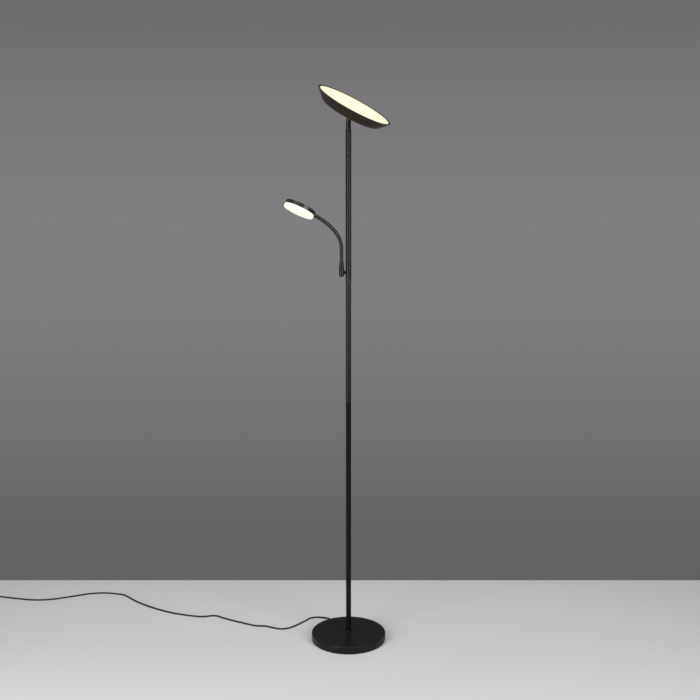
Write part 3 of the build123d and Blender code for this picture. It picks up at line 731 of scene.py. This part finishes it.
def outline_face(outline):
    """A flat face in the XZ plane. Each corner is (x, z) or (x, z, how far from it its rounding starts)."""
    mesh = bmesh.new()
    corners = [mesh.verts.new((x, 0, z)) for x, z, *_ in outline]
    mesh.faces.new(corners)
    for corner, (_, _, *rounding) in zip(corners, outline):
        if rounding:
            bmesh.ops.bevel(
                mesh,
                geom=[corner],
                offset=rounding[0],
                offset_type="OFFSET",
                segments=ROUND_STEPS,
                profile=0.5,
                affect="VERTICES",
                material=-1,
            )
    return mesh


def tidy(mesh):
    """Merges what coincides and turns every face outwards."""
    bmesh.ops.remove_doubles(mesh, verts=mesh.verts[:], dist=MERGE)
    bmesh.ops.dissolve_degenerate(mesh, edges=mesh.edges[:], dist=MERGE)
    bmesh.ops.recalc_face_normals(mesh, faces=mesh.faces[:])
    return mesh


def turned(outline, steps=TURN_STEPS):
    """A shape turned about Z from its closed half outline of (radius, height, rounding) corners."""
    mesh = outline_face(outline)
    bmesh.ops.delete(mesh, geom=mesh.faces[:], context="FACES_ONLY")
    bmesh.ops.spin(
        mesh,
        geom=mesh.verts[:] + mesh.edges[:],
        cent=(0, 0, 0),
        axis=(0, 0, 1),
        angle=tau,
        steps=steps,
        use_merge=True,
    )
    return tidy(mesh)


def slab(outline, depth):
    """A flat outline in the XZ plane made a solid, centred on that plane."""
    mesh = outline_face(outline)
    bmesh.ops.translate(mesh, verts=mesh.verts[:], vec=(0, -depth / 2, 0))
    made = bmesh.ops.extrude_face_region(mesh, geom=mesh.faces[:])["geom"]
    bmesh.ops.translate(mesh, verts=[v for v in made if isinstance(v, bmesh.types.BMVert)], vec=(0, depth, 0))
    return tidy(mesh)


def soften(mesh, size, angle, segments):
    """Rounds every edge that is sharper than an angle."""
    sharp = [edge for edge in mesh.edges if edge.is_manifold and edge.calc_face_angle() > angle]
    bmesh.ops.bevel(
        mesh,
        geom=sharp,
        offset=size,
        offset_type="OFFSET",
        segments=segments,
        profile=0.5,
        affect="EDGES",
        material=-1,
    )
    return mesh


def piece(name, mesh, place, body, maker, replaces=(), smooth=radians(32)):
    """Makes a mesh a finished piece: in its place, riding on a body, with its finish."""
    mesh.transform(place)
    data = bpy.data.meshes.new(name)
    mesh.to_mesh(data)
    mesh.free()
    data.materials.append(finish(maker))
    data.shade_smooth()
    data.set_sharp_from_angle(angle=smooth)
    made = bpy.data.objects.new(name, data)
    bpy.context.scene.collection.objects.link(made)
    weights = made.modifiers.new("Even shading", "WEIGHTED_NORMAL")
    weights.keep_sharp = True
    if body:
        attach(made, body)
    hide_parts(*replaces)
    return made


def groove(radius, level, depth, width, way=1):
    """The corners of a fine groove round a turned piece, from a level up, or down if the way is -1."""
    slope = 0.0003
    floor = radius - depth
    return [
        (radius, level),
        (floor, level + way * slope),
        (floor, level + way * (slope + width)),
        (radius, level + way * (2 * slope + width)),
    ]


def ribs(radius, tip_radius, start, end, count, depth):
    """The outer corners of a ribbed cone: grooves of a depth between tapering ribs."""
    pitch = (end - start) / count
    corners = []
    for number in range(count):
        root = start + pitch * number
        thick = radius + (tip_radius - radius) * number / count
        corners += [
            (thick - depth, root),
            (thick - depth, root + pitch * 0.35),
            (thick, root + pitch * 0.35, pitch * 0.12),
            (thick - depth * 0.3, root + pitch, pitch * 0.12),
        ]
    return corners


# ---- the base and the pole ------------------------------------------------------------------------


class LAMP_OT_base(Operator):
    """Build the base: the pressed cover with its rolled edge, and the collar round the pole's foot."""

    bl_idname = "lamp.base"
    bl_label = "Base"

    def execute(self, context):
        shape = context.scene.lamp_shape
        low, high = levels_of("base_cover")
        wall = 0.0015
        bore = 0.0062
        hem = 0.0005
        cover = turned(
            [
                (bore, high - wall),
                (bore, high),
                (BASE_RADIUS, high, shape.base_edge),
                (BASE_RADIUS, low, hem),
                (BASE_RADIUS - wall, low, 0.6 * hem),
                (BASE_RADIUS - wall, high - wall, shape.base_edge - wall),
            ],
            WIDE_STEPS,
        )
        piece("base_shell", cover, UPRIGHT, "stand", powder_coat, ["base_cover"])
        foot, shoulder = levels_of("base_collar")
        reach = radius_of("base_collar")
        collar = turned(
            [
                (bore, foot),
                (reach, foot),
                (reach, shoulder - 0.0015, shape.edge),
                (reach - 0.0014, shoulder, 2 * shape.edge),
                (bore, shoulder),
            ]
        )
        piece("foot_collar", collar, UPRIGHT, "stand", powder_coat, ["base_collar"])
        return {"FINISHED"}


class LAMP_OT_pole(Operator):
    """Build the pole: four tubes with fine seams between them, and the ring that senses a touch."""

    bl_idname = "lamp.pole"
    bl_label = "Pole"

    def execute(self, context):
        edge = context.scene.lamp_shape.edge
        # The lower two tubes take the darker copy of the coat, painted shade towards the floor.
        for node_name, wall, coat in (
            ("bottom_tube", 0.0012, shaded_coat),
            ("lower_tube", 0.0012, shaded_coat),
            ("middle_tube", 0.0012, powder_coat),
            ("upper_tube", 0.001, powder_coat),
        ):
            low, high = levels_of(node_name)
            radius = radius_of(node_name)
            bore = radius - wall
            tube = turned([(bore, low), (radius, low, edge), (radius, high, edge), (bore, high)], TUBE_STEPS)
            piece(f"{node_name}_coated", tube, UPRIGHT, "stand", coat, [node_name])
        low, high = levels_of("touch_ring")
        radius = radius_of("touch_ring")
        bore = radius - 0.001
        ring = turned(
            [
                (bore, low),
                (radius, low, edge),
                *groove(radius, low + 0.0018, 0.0003, 0.0003),
                *groove(radius, high - 0.0027, 0.0003, 0.0003),
                (radius, high, edge),
                (bore, high),
            ],
            TUBE_STEPS,
        )
        piece("touch_sensor", ring, UPRIGHT, "stand", touch_metal, ["touch_ring"])
        return {"FINISHED"}


# ---- the reading arm ------------------------------------------------------------------------------


class LAMP_OT_arm_fitting(Operator):
    """Build the fitting that the reading arm turns in: the socket, its domed cap and the spindle's collar."""

    bl_idname = "lamp.arm_fitting"
    bl_label = "Arm Fitting"

    def execute(self, context):
        edge = context.scene.lamp_shape.edge
        place = Matrix.Translation((ARM_FOOT.x, ARM_FOOT.y, 0))
        foot, top = levels_of("arm_socket")
        radius = radius_of("arm_socket")
        bore = 0.00405
        pocket = 0.0062
        pocket_top = foot + 0.0065
        socket = turned(
            [
                (bore, top),
                (radius, top, 0.0009),
                *groove(radius, top - 0.0030, 0.0004, 0.0005, -1),
                (radius, foot, edge * 0.6),
                (pocket, foot),
                (pocket, pocket_top),
                (bore, pocket_top),
            ]
        )
        piece("arm_socket_turned", socket, place, "stand", powder_coat, ["arm_socket"])
        low, high = levels_of("socket_cap")
        plug = pocket - 0.00005
        dome = 0.0026
        cap = turned(
            [(0, low), (radius, low, dome), (radius, foot, edge * 0.4), (plug, foot), (plug, high), (0, high)]
        )
        piece("socket_cap_domed", cap, place, "stand", powder_coat, ["socket_cap"])
        low, high = levels_of("arm_spindle")
        shoulder = top + 0.0003
        lead_hole = 0.0022
        shaft = 0.004
        collar = 0.007
        spindle = turned(
            [
                (lead_hole, low),
                (shaft, low),
                (shaft, shoulder),
                (collar, shoulder, edge),
                *groove(collar, shoulder + 0.0040, 0.0004, 0.0005),
                (collar, high - 0.0012, edge),
                (NECK_RADIUS - 0.0002, high),
                (lead_hole, high),
            ]
        )
        piece("arm_spindle_turned", spindle, place, "arm_base", powder_coat, ["arm_spindle"])
        return {"FINISHED"}


def wire_turns(first, count, turns_per_link, bore):
    """Turns of the neck's wire, wound straight along Z and then bent into the neck's line."""
    pitch = LINK_LENGTH / turns_per_link
    crest = NECK_RADIUS
    root = crest - pitch * 0.32
    mesh = outline_face(
        [
            (bore, 0),
            (root, 0),
            (crest, pitch * 0.22, pitch * 0.2),
            (crest, pitch * 0.78, pitch * 0.2),
            (root, pitch),
            (bore, pitch),
        ]
    )
    bmesh.ops.translate(mesh, verts=mesh.verts[:], vec=(0, 0, pitch * (first - 0.5)))
    bmesh.ops.spin(
        mesh,
        geom=mesh.faces[:],
        cent=(0, 0, 0),
        axis=(0, 0, 1),
        dvec=(0, 0, pitch / WIRE_STEPS),
        angle=tau * count,
        steps=WIRE_STEPS * count,
        use_duplicate=False,
    )
    tidy(mesh)
    for corner in mesh.verts:
        along = min(max(corner.co.z, 0), NECK_LENGTH)
        corner.co = neck_at(along) @ Vector((corner.co.x, corner.co.y, 0))
    return mesh


class LAMP_OT_gooseneck(Operator):
    """Wind the gooseneck: a wire coil in seven lengths, each laid across one joint of the neck in the neck's rest
    bend.
    """

    bl_idname = "lamp.gooseneck"
    bl_label = "Gooseneck"

    def execute(self, context):
        shape = context.scene.lamp_shape
        per_link = shape.neck_turns
        links = len(LINK_TURNS)
        lengths = links - 1
        for number in range(1, lengths + 1):
            first = 0 if number == 1 else per_link * number - per_link // 2
            last = per_link * links if number == lengths else per_link * (number + 1) - per_link // 2
            mesh = wire_turns(first, last - first, per_link, shape.neck_bore)
            covered = [f"gooseneck_link_{number}"]
            if number == lengths:
                covered.append(f"gooseneck_link_{links}")
            start = neck_at(LINK_LENGTH * (number - 0.5)).translation
            end = neck_at(LINK_LENGTH * (number + 0.5)).translation
            name = f"neck_winding_{number}"
            made = piece(name, mesh, UPRIGHT, None, blackened_wire, covered, radians(50))
            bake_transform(made)
        return {"FINISHED"}


class LAMP_OT_reading_head(Operator):
    """Build the reading head: the ferrule, the flat round housing and the lit drum under it."""

    bl_idname = "lamp.reading_head"
    bl_label = "Reading Head"

    def execute(self, context):
        edge = context.scene.lamp_shape.edge
        lead_hole = 0.0018
        spigot = 0.003
        neck = NECK_RADIUS - 0.0004
        flange = NECK_RADIUS + 0.0006
        flange_top = FERRULE_LENGTH + 0.0004
        ferrule = turned(
            [
                (lead_hole, 0),
                (NECK_RADIUS, 0, edge),
                (NECK_RADIUS, 0.0042),
                (neck, 0.0045),
                (neck, 0.0049),
                (flange, 0.0052, edge * 0.5),
                (flange, flange_top),
                (spigot, flange_top),
                (spigot, 2 * FERRULE_LENGTH),
                (lead_hole, 2 * FERRULE_LENGTH),
            ]
        )
        foot = standing(NECK_END.translation, READ_OUT, READ_UP)
        body = "reading_head"
        piece("read_ferrule_turned", ferrule, foot, body, satin_paint, ["read_ferrule"])
        half = READ_HOUSING / 2
        wall = 0.0015
        parting = half - 0.0034
        housing = turned(
            [
                (0, half),
                (READ_RADIUS, half, 0.002),
                *groove(READ_RADIUS, parting + 0.0003, 0.0003, 0.0003, -1),
                (READ_RADIUS, -half, edge),
                (READ_RADIUS - wall, -half, edge * 0.6),
                (READ_RADIUS - wall, half - wall, 0.0008),
                (0, half - wall),
            ],
            HEAD_STEPS,
        )
        piece("read_housing_shell", housing, READ_PLACE, body, satin_paint, ["read_housing"])
        rim = READ_RADIUS - 0.0007
        spigot = READ_RADIUS - 0.0016
        spigot_top = -half + 0.0009
        bottom = -half - READ_DRUM
        skin = 0.0022
        drum = turned(
            [
                (0, bottom),
                (rim, bottom, 0.0034),
                (rim, -half, 0.0002),
                (spigot, -half),
                (spigot, spigot_top),
                (spigot - skin, spigot_top),
                (spigot - skin, bottom + skin, 0.0016),
                (0, bottom + skin),
            ],
            HEAD_STEPS,
        )
        piece("read_drum", drum, READ_PLACE, body, read_opal, ["read_diffuser"])
        return {"FINISHED"}


# ---- the uplighter --------------------------------------------------------------------------------


class LAMP_OT_uplighter(Operator):
    """Build the uplighter: the spun bowl, its folded rim and the opal disc that it holds."""

    bl_idname = "lamp.uplighter"
    bl_label = "Uplighter"

    def execute(self, context):
        shape = context.scene.lamp_shape
        run, rise = BOWL_RIM_RADIUS - BOWL_FLOOR_RADIUS, BOWL_RIM - BOWL_FLOOR
        slant = (run * run + rise * rise) ** 0.5
        lip = BOWL_RIM - 0.0012
        lip_radius = BOWL_FLOOR_RADIUS + run * (lip - BOWL_FLOOR) / rise
        slant_wall = BOWL_WALL * slant / rise
        inner_corner = BOWL_FLOOR_RADIUS - slant_wall + run * BOWL_WALL / rise
        lead_hole = 0.0035
        corner = shape.bowl_corner
        bowl = turned(
            [
                (lead_hole, BOWL_FLOOR),
                (BOWL_FLOOR_RADIUS, BOWL_FLOOR, corner),
                (lip_radius, lip),
                (lip_radius - slant_wall, lip),
                (inner_corner, BOWL_FLOOR + BOWL_WALL, corner),
                (lead_hole, BOWL_FLOOR + BOWL_WALL),
            ],
            WIDE_STEPS,
        )
        body = "uplighter"
        # The bowl and its rim take the coat with the painted glow from the disc.
        piece("head_bowl_spun", bowl, HEAD_PLACE, body, glow_tinted_coat, ["head_bowl"])
        rebate = LIT_RADIUS + 0.0010
        opal_top = lip - 0.0004
        rim = turned(
            [
                (LIT_RADIUS, opal_top),
                (rebate, opal_top),
                (rebate, lip),
                (lip_radius, lip),
                (BOWL_RIM_RADIUS, BOWL_RIM, shape.edge),
                (LIT_RADIUS, BOWL_RIM, shape.edge),
            ],
            WIDE_STEPS,
        )
        piece("head_rim_folded", rim, HEAD_PLACE, body, glow_tinted_coat, ["head_rim"])
        opal_radius = LIT_RADIUS + 0.0006
        under = opal_top - 0.0025
        disc = turned(
            [(0, under), (opal_radius, under), (opal_radius, opal_top, shape.edge), (0, opal_top)],
            WIDE_STEPS,
        )
        piece("head_opal_disc", disc, HEAD_PLACE, body, head_opal, ["head_diffuser"])
        return {"FINISHED"}


# ---- the mains lead -------------------------------------------------------------------------------


class LAMP_OT_lead(Operator):
    """Build the mains lead: the ribbed gland, the lead with its coil, and the plug with its pins."""

    bl_idname = "lamp.lead"
    bl_label = "Mains Lead"

    def execute(self, context):
        self.gland()
        self.lead(self.plug())
        return {"FINISHED"}

    def gland(self):
        """The gland: a ribbed sleeve that is clipped into the base's skirt by a groove."""
        bore = LEAD_RADIUS + 0.00005
        skirt = BASE_RADIUS
        tip = BASE_RADIUS + GLAND_LENGTH
        outline = [
            (bore, skirt - 0.006),
            (0.0049, skirt - 0.006),
            (0.0049, skirt - 0.0022),
            (0.0039, skirt - 0.0022),
            (0.0039, skirt + 0.0003),
            (0.0056, skirt + 0.0003, 0.0005),
            (0.0053, skirt + 0.0035, 0.0006),
            *ribs(0.0051, 0.0038, skirt + 0.0035, tip - 0.0015, 6, 0.0007),
            (0.0036, tip - 0.0015),
            (0.0036, tip, 0.0004),
            (bore, tip),
        ]
        place = standing(UP * LEAD_LEVEL, LEAD_OUT, UP)
        sleeve = turned(outline, SMALL_STEPS)
        piece("gland_ribbed", sleeve, place, "stand", black_plastic, ["cord_gland"])

    def plug(self):
        """The plug: a flat six-sided body, a ribbed relief behind it and two sleeved pins before it."""
        relief, shoulder, front = 0.020, 0.037, 0.054
        half = 0.0176
        tail = 0.0065
        thickness = 2 * PLUG_LEVEL
        body = slab(
            [
                (relief, -tail, 0.002),
                (shoulder, -half, 0.0035),
                (front, -half, 0.002),
                (front, half, 0.002),
                (shoulder, half, 0.0035),
                (relief, tail, 0.002),
            ],
            thickness,
        )
        soften(body, 0.0016, radians(50), 4)
        flat = standing(PLUG_TIP, PLUG_WAY.cross(UP), PLUG_WAY)
        body_piece = piece("plug_body_moulded", body, flat, "stand", black_plastic, ["plug_body"])
        along = standing(PLUG_TIP, PLUG_WAY, UP)
        bore = LEAD_RADIUS + 0.00005
        outline = [
            (bore, 0),
            (0.0036, 0, 0.0004),
            (0.0036, 0.0012),
            *ribs(0.0040, 0.0054, 0.0012, relief, 7, 0.0007),
            (0.0052, relief + 0.002),
            (0, relief + 0.002),
            (0, 0.008),
            (bore, 0.008),
        ]
        sleeve = turned(outline, SMALL_STEPS)
        pieces = [body_piece, piece("plug_relief", sleeve, along, "stand", black_plastic)]
        spacing = 0.0093
        jacket, jacket_end = 0.0019, front + 0.010
        pin, pin_end = 0.0020, front + 0.019
        edge, nose = 0.0002, 0.0013
        for number, side in enumerate((-spacing, spacing), start=1):
            place = standing(PLUG_TIP + PLUG_WAY.cross(UP) * side, PLUG_WAY, UP)
            corners = [(0, front), (jacket, front), (jacket, jacket_end, edge), (0, jacket_end)]
            sleeve = turned(corners, PIN_STEPS)
            corners = [(0, jacket_end), (pin, jacket_end, edge), (pin, pin_end, nose), (0, pin_end)]
            tip = turned(corners, PIN_STEPS)
            covered = ["plug_pins"] if number == 1 else []
            pieces += [
                piece(f"pin_sleeve_{number}", sleeve, place, "stand", black_plastic),
                piece(f"pin_tip_{number}", tip, place, "stand", nickel_plated, covered),
            ]
        return pieces

    def lead(self, plug):
        """The lead: one smooth curve from the gland to the plug, by way of the coil."""
        points = [*LEAD_ROUTE, *coil_route()[1:]]
        curve = bpy.data.curves.new("mains_lead", "CURVE")
        curve.dimensions = "3D"
        curve.bevel_depth = LEAD_RADIUS
        curve.bevel_resolution = 5
        curve.resolution_u = 8
        curve.use_fill_caps = True
        spline = curve.splines.new("NURBS")
        spline.points.add(len(points) - 1)
        for corner, point in zip(spline.points, points):
            corner.co = (*point, 1)
        spline.order_u = 3
        spline.use_endpoint_u = True
        curve.materials.append(finish(sheath))
        lead = bpy.data.objects.new("mains_lead", curve)
        bpy.context.scene.collection.objects.link(lead)
        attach(lead, "stand")
        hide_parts("cord_lead", "cord_coil")


# ---- carried-over parts ---------------------------------------------------------------------------

SLOT_FINISHES = {
    "powder_black": powder_coat,
    "satin_black": satin_paint,
    "gooseneck": blackened_wire,
    "black_plated": touch_metal,
    "cast_iron": cast_iron,
    "steel": zinc_plated,
    "nickel": nickel_plated,
    "aluminium": sheet_aluminium,
    "black_plastic": black_plastic,
    "cable": sheath,
    "board": solder_mask,
    "led": phosphor,
    "diffuser": head_opal,
    "pad": felt,
}


class LAMP_OT_carried_parts(Operator):
    """Give every part that is kept from the frame the finish of its material slot."""

    bl_idname = "lamp.carried_parts"
    bl_label = "Carried-over Parts"

    def execute(self, context):
        for subpart in frame["record"]["subparts"]:
            part = frame["nodes"][subpart["node"]]
            for held in part.material_slots:
                held.material = finish(SLOT_FINISHES[subpart["material_slot"]])
        return {"FINISHED"}


# ---- the studio -----------------------------------------------------------------------------------


# The stage's painted light and shade: at which place along Y or Z, in metres, which share of its colour
FLOOR_PAINTED_LIGHT = ((-1.6, 0.3), (-0.5, 0.96), (0.0, 0.97))
FLOOR_PAINTED_LIGHT_AT_WALL = 1.05
# The wall's painted light and shade: darker at its foot and top, lightest at about 1.4 m.
WALL_PAINTED_LIGHT = (
    *((0.0, 0.59), (0.24, 0.61), (0.48, 0.76), (0.71, 0.87), (1.05, 1.0)),
    *((1.38, 1.02), (1.81, 0.91), (2.12, 0.73), (2.6, 0.6)),
)
STAGE_WIDTH = 14
WALL_HEIGHT = 6
CAMERA_PLACE = (0.0048, -3.167, 1.441)
CAMERA_TURN = (radians(81.62), 0, 0)
CAMERA_LENS = 51.43
CAMERA_SENSOR = 36


def stage_material(name, colour, gloss, tone_axis, tones, rough):
    """A stage surface whose colour changes slowly along one axis, a ramp of painted light and shade, seen from its
    front only.
    """
    material, tree, shader = principled(name, {"Roughness": rough, "Specular IOR Level": gloss})
    split = node(tree, "ShaderNodeSeparateXYZ")
    tree.links.new(place_of_surface(tree), split.inputs["Vector"])
    ramp = node(tree, "ShaderNodeValToRGB")
    start, end = tones[0][0], tones[-1][0]
    along = spread(tree, split.outputs[tone_axis], 0.0, 1.0, start, end)
    tree.links.new(along, ramp.inputs["Fac"])
    elements = ramp.color_ramp.elements
    while len(elements) < len(tones):
        elements.new(0.5)
    for element, (place, tone) in zip(elements, tones):
        element.position = (place - start) / (end - start)
        element.color = (*(c * tone for c in colour), 1)
    tree.links.new(ramp.outputs["Color"], shader.inputs["Base Color"])
    clear = node(tree, "ShaderNodeBsdfTransparent")
    either = node(tree, "ShaderNodeMixShader")
    side = node(tree, "ShaderNodeNewGeometry")
    tree.links.new(side.outputs["Backfacing"], either.inputs["Fac"])
    tree.links.new(shader.outputs["BSDF"], either.inputs[1])
    tree.links.new(clear.outputs["BSDF"], either.inputs[2])
    tree.links.new(either.outputs["Shader"], tree.nodes["Material Output"].inputs["Surface"])
    return material, tree, shader, ramp


def sheet_of(name, width, depth, place, material):
    """A flat stage sheet."""
    mesh = bmesh.new()
    bmesh.ops.create_grid(mesh, x_segments=4, y_segments=4, size=0.5)
    bmesh.ops.scale(mesh, vec=(width, depth, 1), verts=mesh.verts[:])
    mesh.transform(place)
    data = bpy.data.meshes.new(name)
    mesh.to_mesh(data)
    mesh.free()
    data.materials.append(material)
    made = bpy.data.objects.new(name, data)
    bpy.context.scene.collection.objects.link(made)


def soft_light(name, place, aim, width, height, power):
    """A large rectangular light aimed at a point."""
    data = bpy.data.lights.new(name, "AREA")
    data.shape = "RECTANGLE"
    data.size = width
    data.size_y = height
    data.energy = power
    light = bpy.data.objects.new(name, data)
    light.location = place
    light.rotation_euler = (Vector(aim) - Vector(place)).to_track_quat("-Z", "Y").to_euler()
    bpy.context.scene.collection.objects.link(light)


class LAMP_OT_studio(Operator):
    """Set up the floor, the wall, the soft lights and the camera."""

    bl_idname = "lamp.studio"
    bl_label = "Studio"

    def execute(self, context):
        studio = context.scene.lamp_studio
        wall_y = studio.wall_y
        # The floor's colour ramp paints light and shade: dark towards the front, lightest at the wall.
        floor_light_stops = (*FLOOR_PAINTED_LIGHT, (wall_y, FLOOR_PAINTED_LIGHT_AT_WALL))
        floor, *_ = stage_material("studio_floor", studio.floor, 0.25, "Y", floor_light_stops, 0.55)
        sheet_of("floor", STAGE_WIDTH, STAGE_WIDTH, UPRIGHT, floor)
        # The wall glows: its ramp of painted light and shade drives the emission, and its own colour is black.
        wall, tree, shader, ramp = stage_material("studio_wall", studio.backdrop, 0.0, "Z", WALL_PAINTED_LIGHT, 1.0)
        shader.inputs["Base Color"].default_value = (0, 0, 0, 1)
        tree.links.remove(shader.inputs["Base Color"].links[0])
        tree.links.new(ramp.outputs["Color"], shader.inputs["Emission Color"])
        shader.inputs["Emission Strength"].default_value = 1.0
        upright = Matrix.Translation((0, wall_y, WALL_HEIGHT / 2)) @ Matrix.Rotation(pi / 2, 4, "X")
        sheet_of("wall", STAGE_WIDTH, WALL_HEIGHT, upright, wall)
        world = bpy.data.worlds.new("studio")
        world.use_nodes = True
        background = world.node_tree.nodes["Background"]
        background.inputs["Color"].default_value = (studio.haze, studio.haze, studio.haze, 1)
        context.scene.world = world
        soft_light("key", (-1.62, -1.85, 1.35), (0, 0, 1.35), 1.1, 2.0, studio.key_power)
        soft_light("fill", (1.62, -1.85, 1.50), (0, 0, 1.50), 1.1, 1.7, studio.fill_power)
        soft_light("top", (0.0, -0.9, 3.2), (0, -0.4, 0), 3.0, 2.2, studio.top_power)
        context.scene.view_settings.view_transform = "Standard"
        camera = bpy.data.cameras.new("camera")
        camera.lens = CAMERA_LENS
        camera.sensor_width = CAMERA_SENSOR
        placed = bpy.data.objects.new("camera", camera)
        placed.location = CAMERA_PLACE
        placed.rotation_euler = CAMERA_TURN
        context.scene.collection.objects.link(placed)
        context.scene.camera = placed
        return {"FINISHED"}


# ---- the panel and the run ------------------------------------------------------------------------

OPERATORS = (
    LAMP_OT_studio,
    LAMP_OT_lead,
    LAMP_OT_base,
    LAMP_OT_pole,
    LAMP_OT_arm_fitting,
    LAMP_OT_gooseneck,
    LAMP_OT_reading_head,
    LAMP_OT_uplighter,
    LAMP_OT_carried_parts,
)


class LAMP_PT_panel(Panel):
    """The lamp's pieces, one button each."""

    bl_idname = "LAMP_PT_panel"
    bl_label = "Floor Lamp"
    bl_space_type = "VIEW_3D"
    bl_region_type = "UI"
    bl_category = "Floor Lamp"

    def draw(self, context):
        for operator in OPERATORS:
            self.layout.operator(operator.bl_idname)


CLASSES = (LampShape, LampFinish, Studio, *OPERATORS, LAMP_PT_panel)


def register():
    for cls in CLASSES:
        bpy.utils.register_class(cls)
    bpy.types.Scene.lamp_shape = PointerProperty(type=LampShape)
    bpy.types.Scene.lamp_finish = PointerProperty(type=LampFinish)
    bpy.types.Scene.lamp_studio = PointerProperty(type=Studio)


def unregister():
    del bpy.types.Scene.lamp_studio
    del bpy.types.Scene.lamp_finish
    del bpy.types.Scene.lamp_shape
    for cls in reversed(CLASSES):
        bpy.utils.unregister_class(cls)


def main():
    register()
    bpy.ops.lamp.studio()
    bpy.ops.lamp.lead()
    bpy.ops.lamp.base()
    bpy.ops.lamp.pole()
    bpy.ops.lamp.arm_fitting()
    bpy.ops.lamp.gooseneck()
    bpy.ops.lamp.reading_head()
    bpy.ops.lamp.uplighter()
    bpy.ops.lamp.carried_parts()


if __name__ == "__main__":
    main()
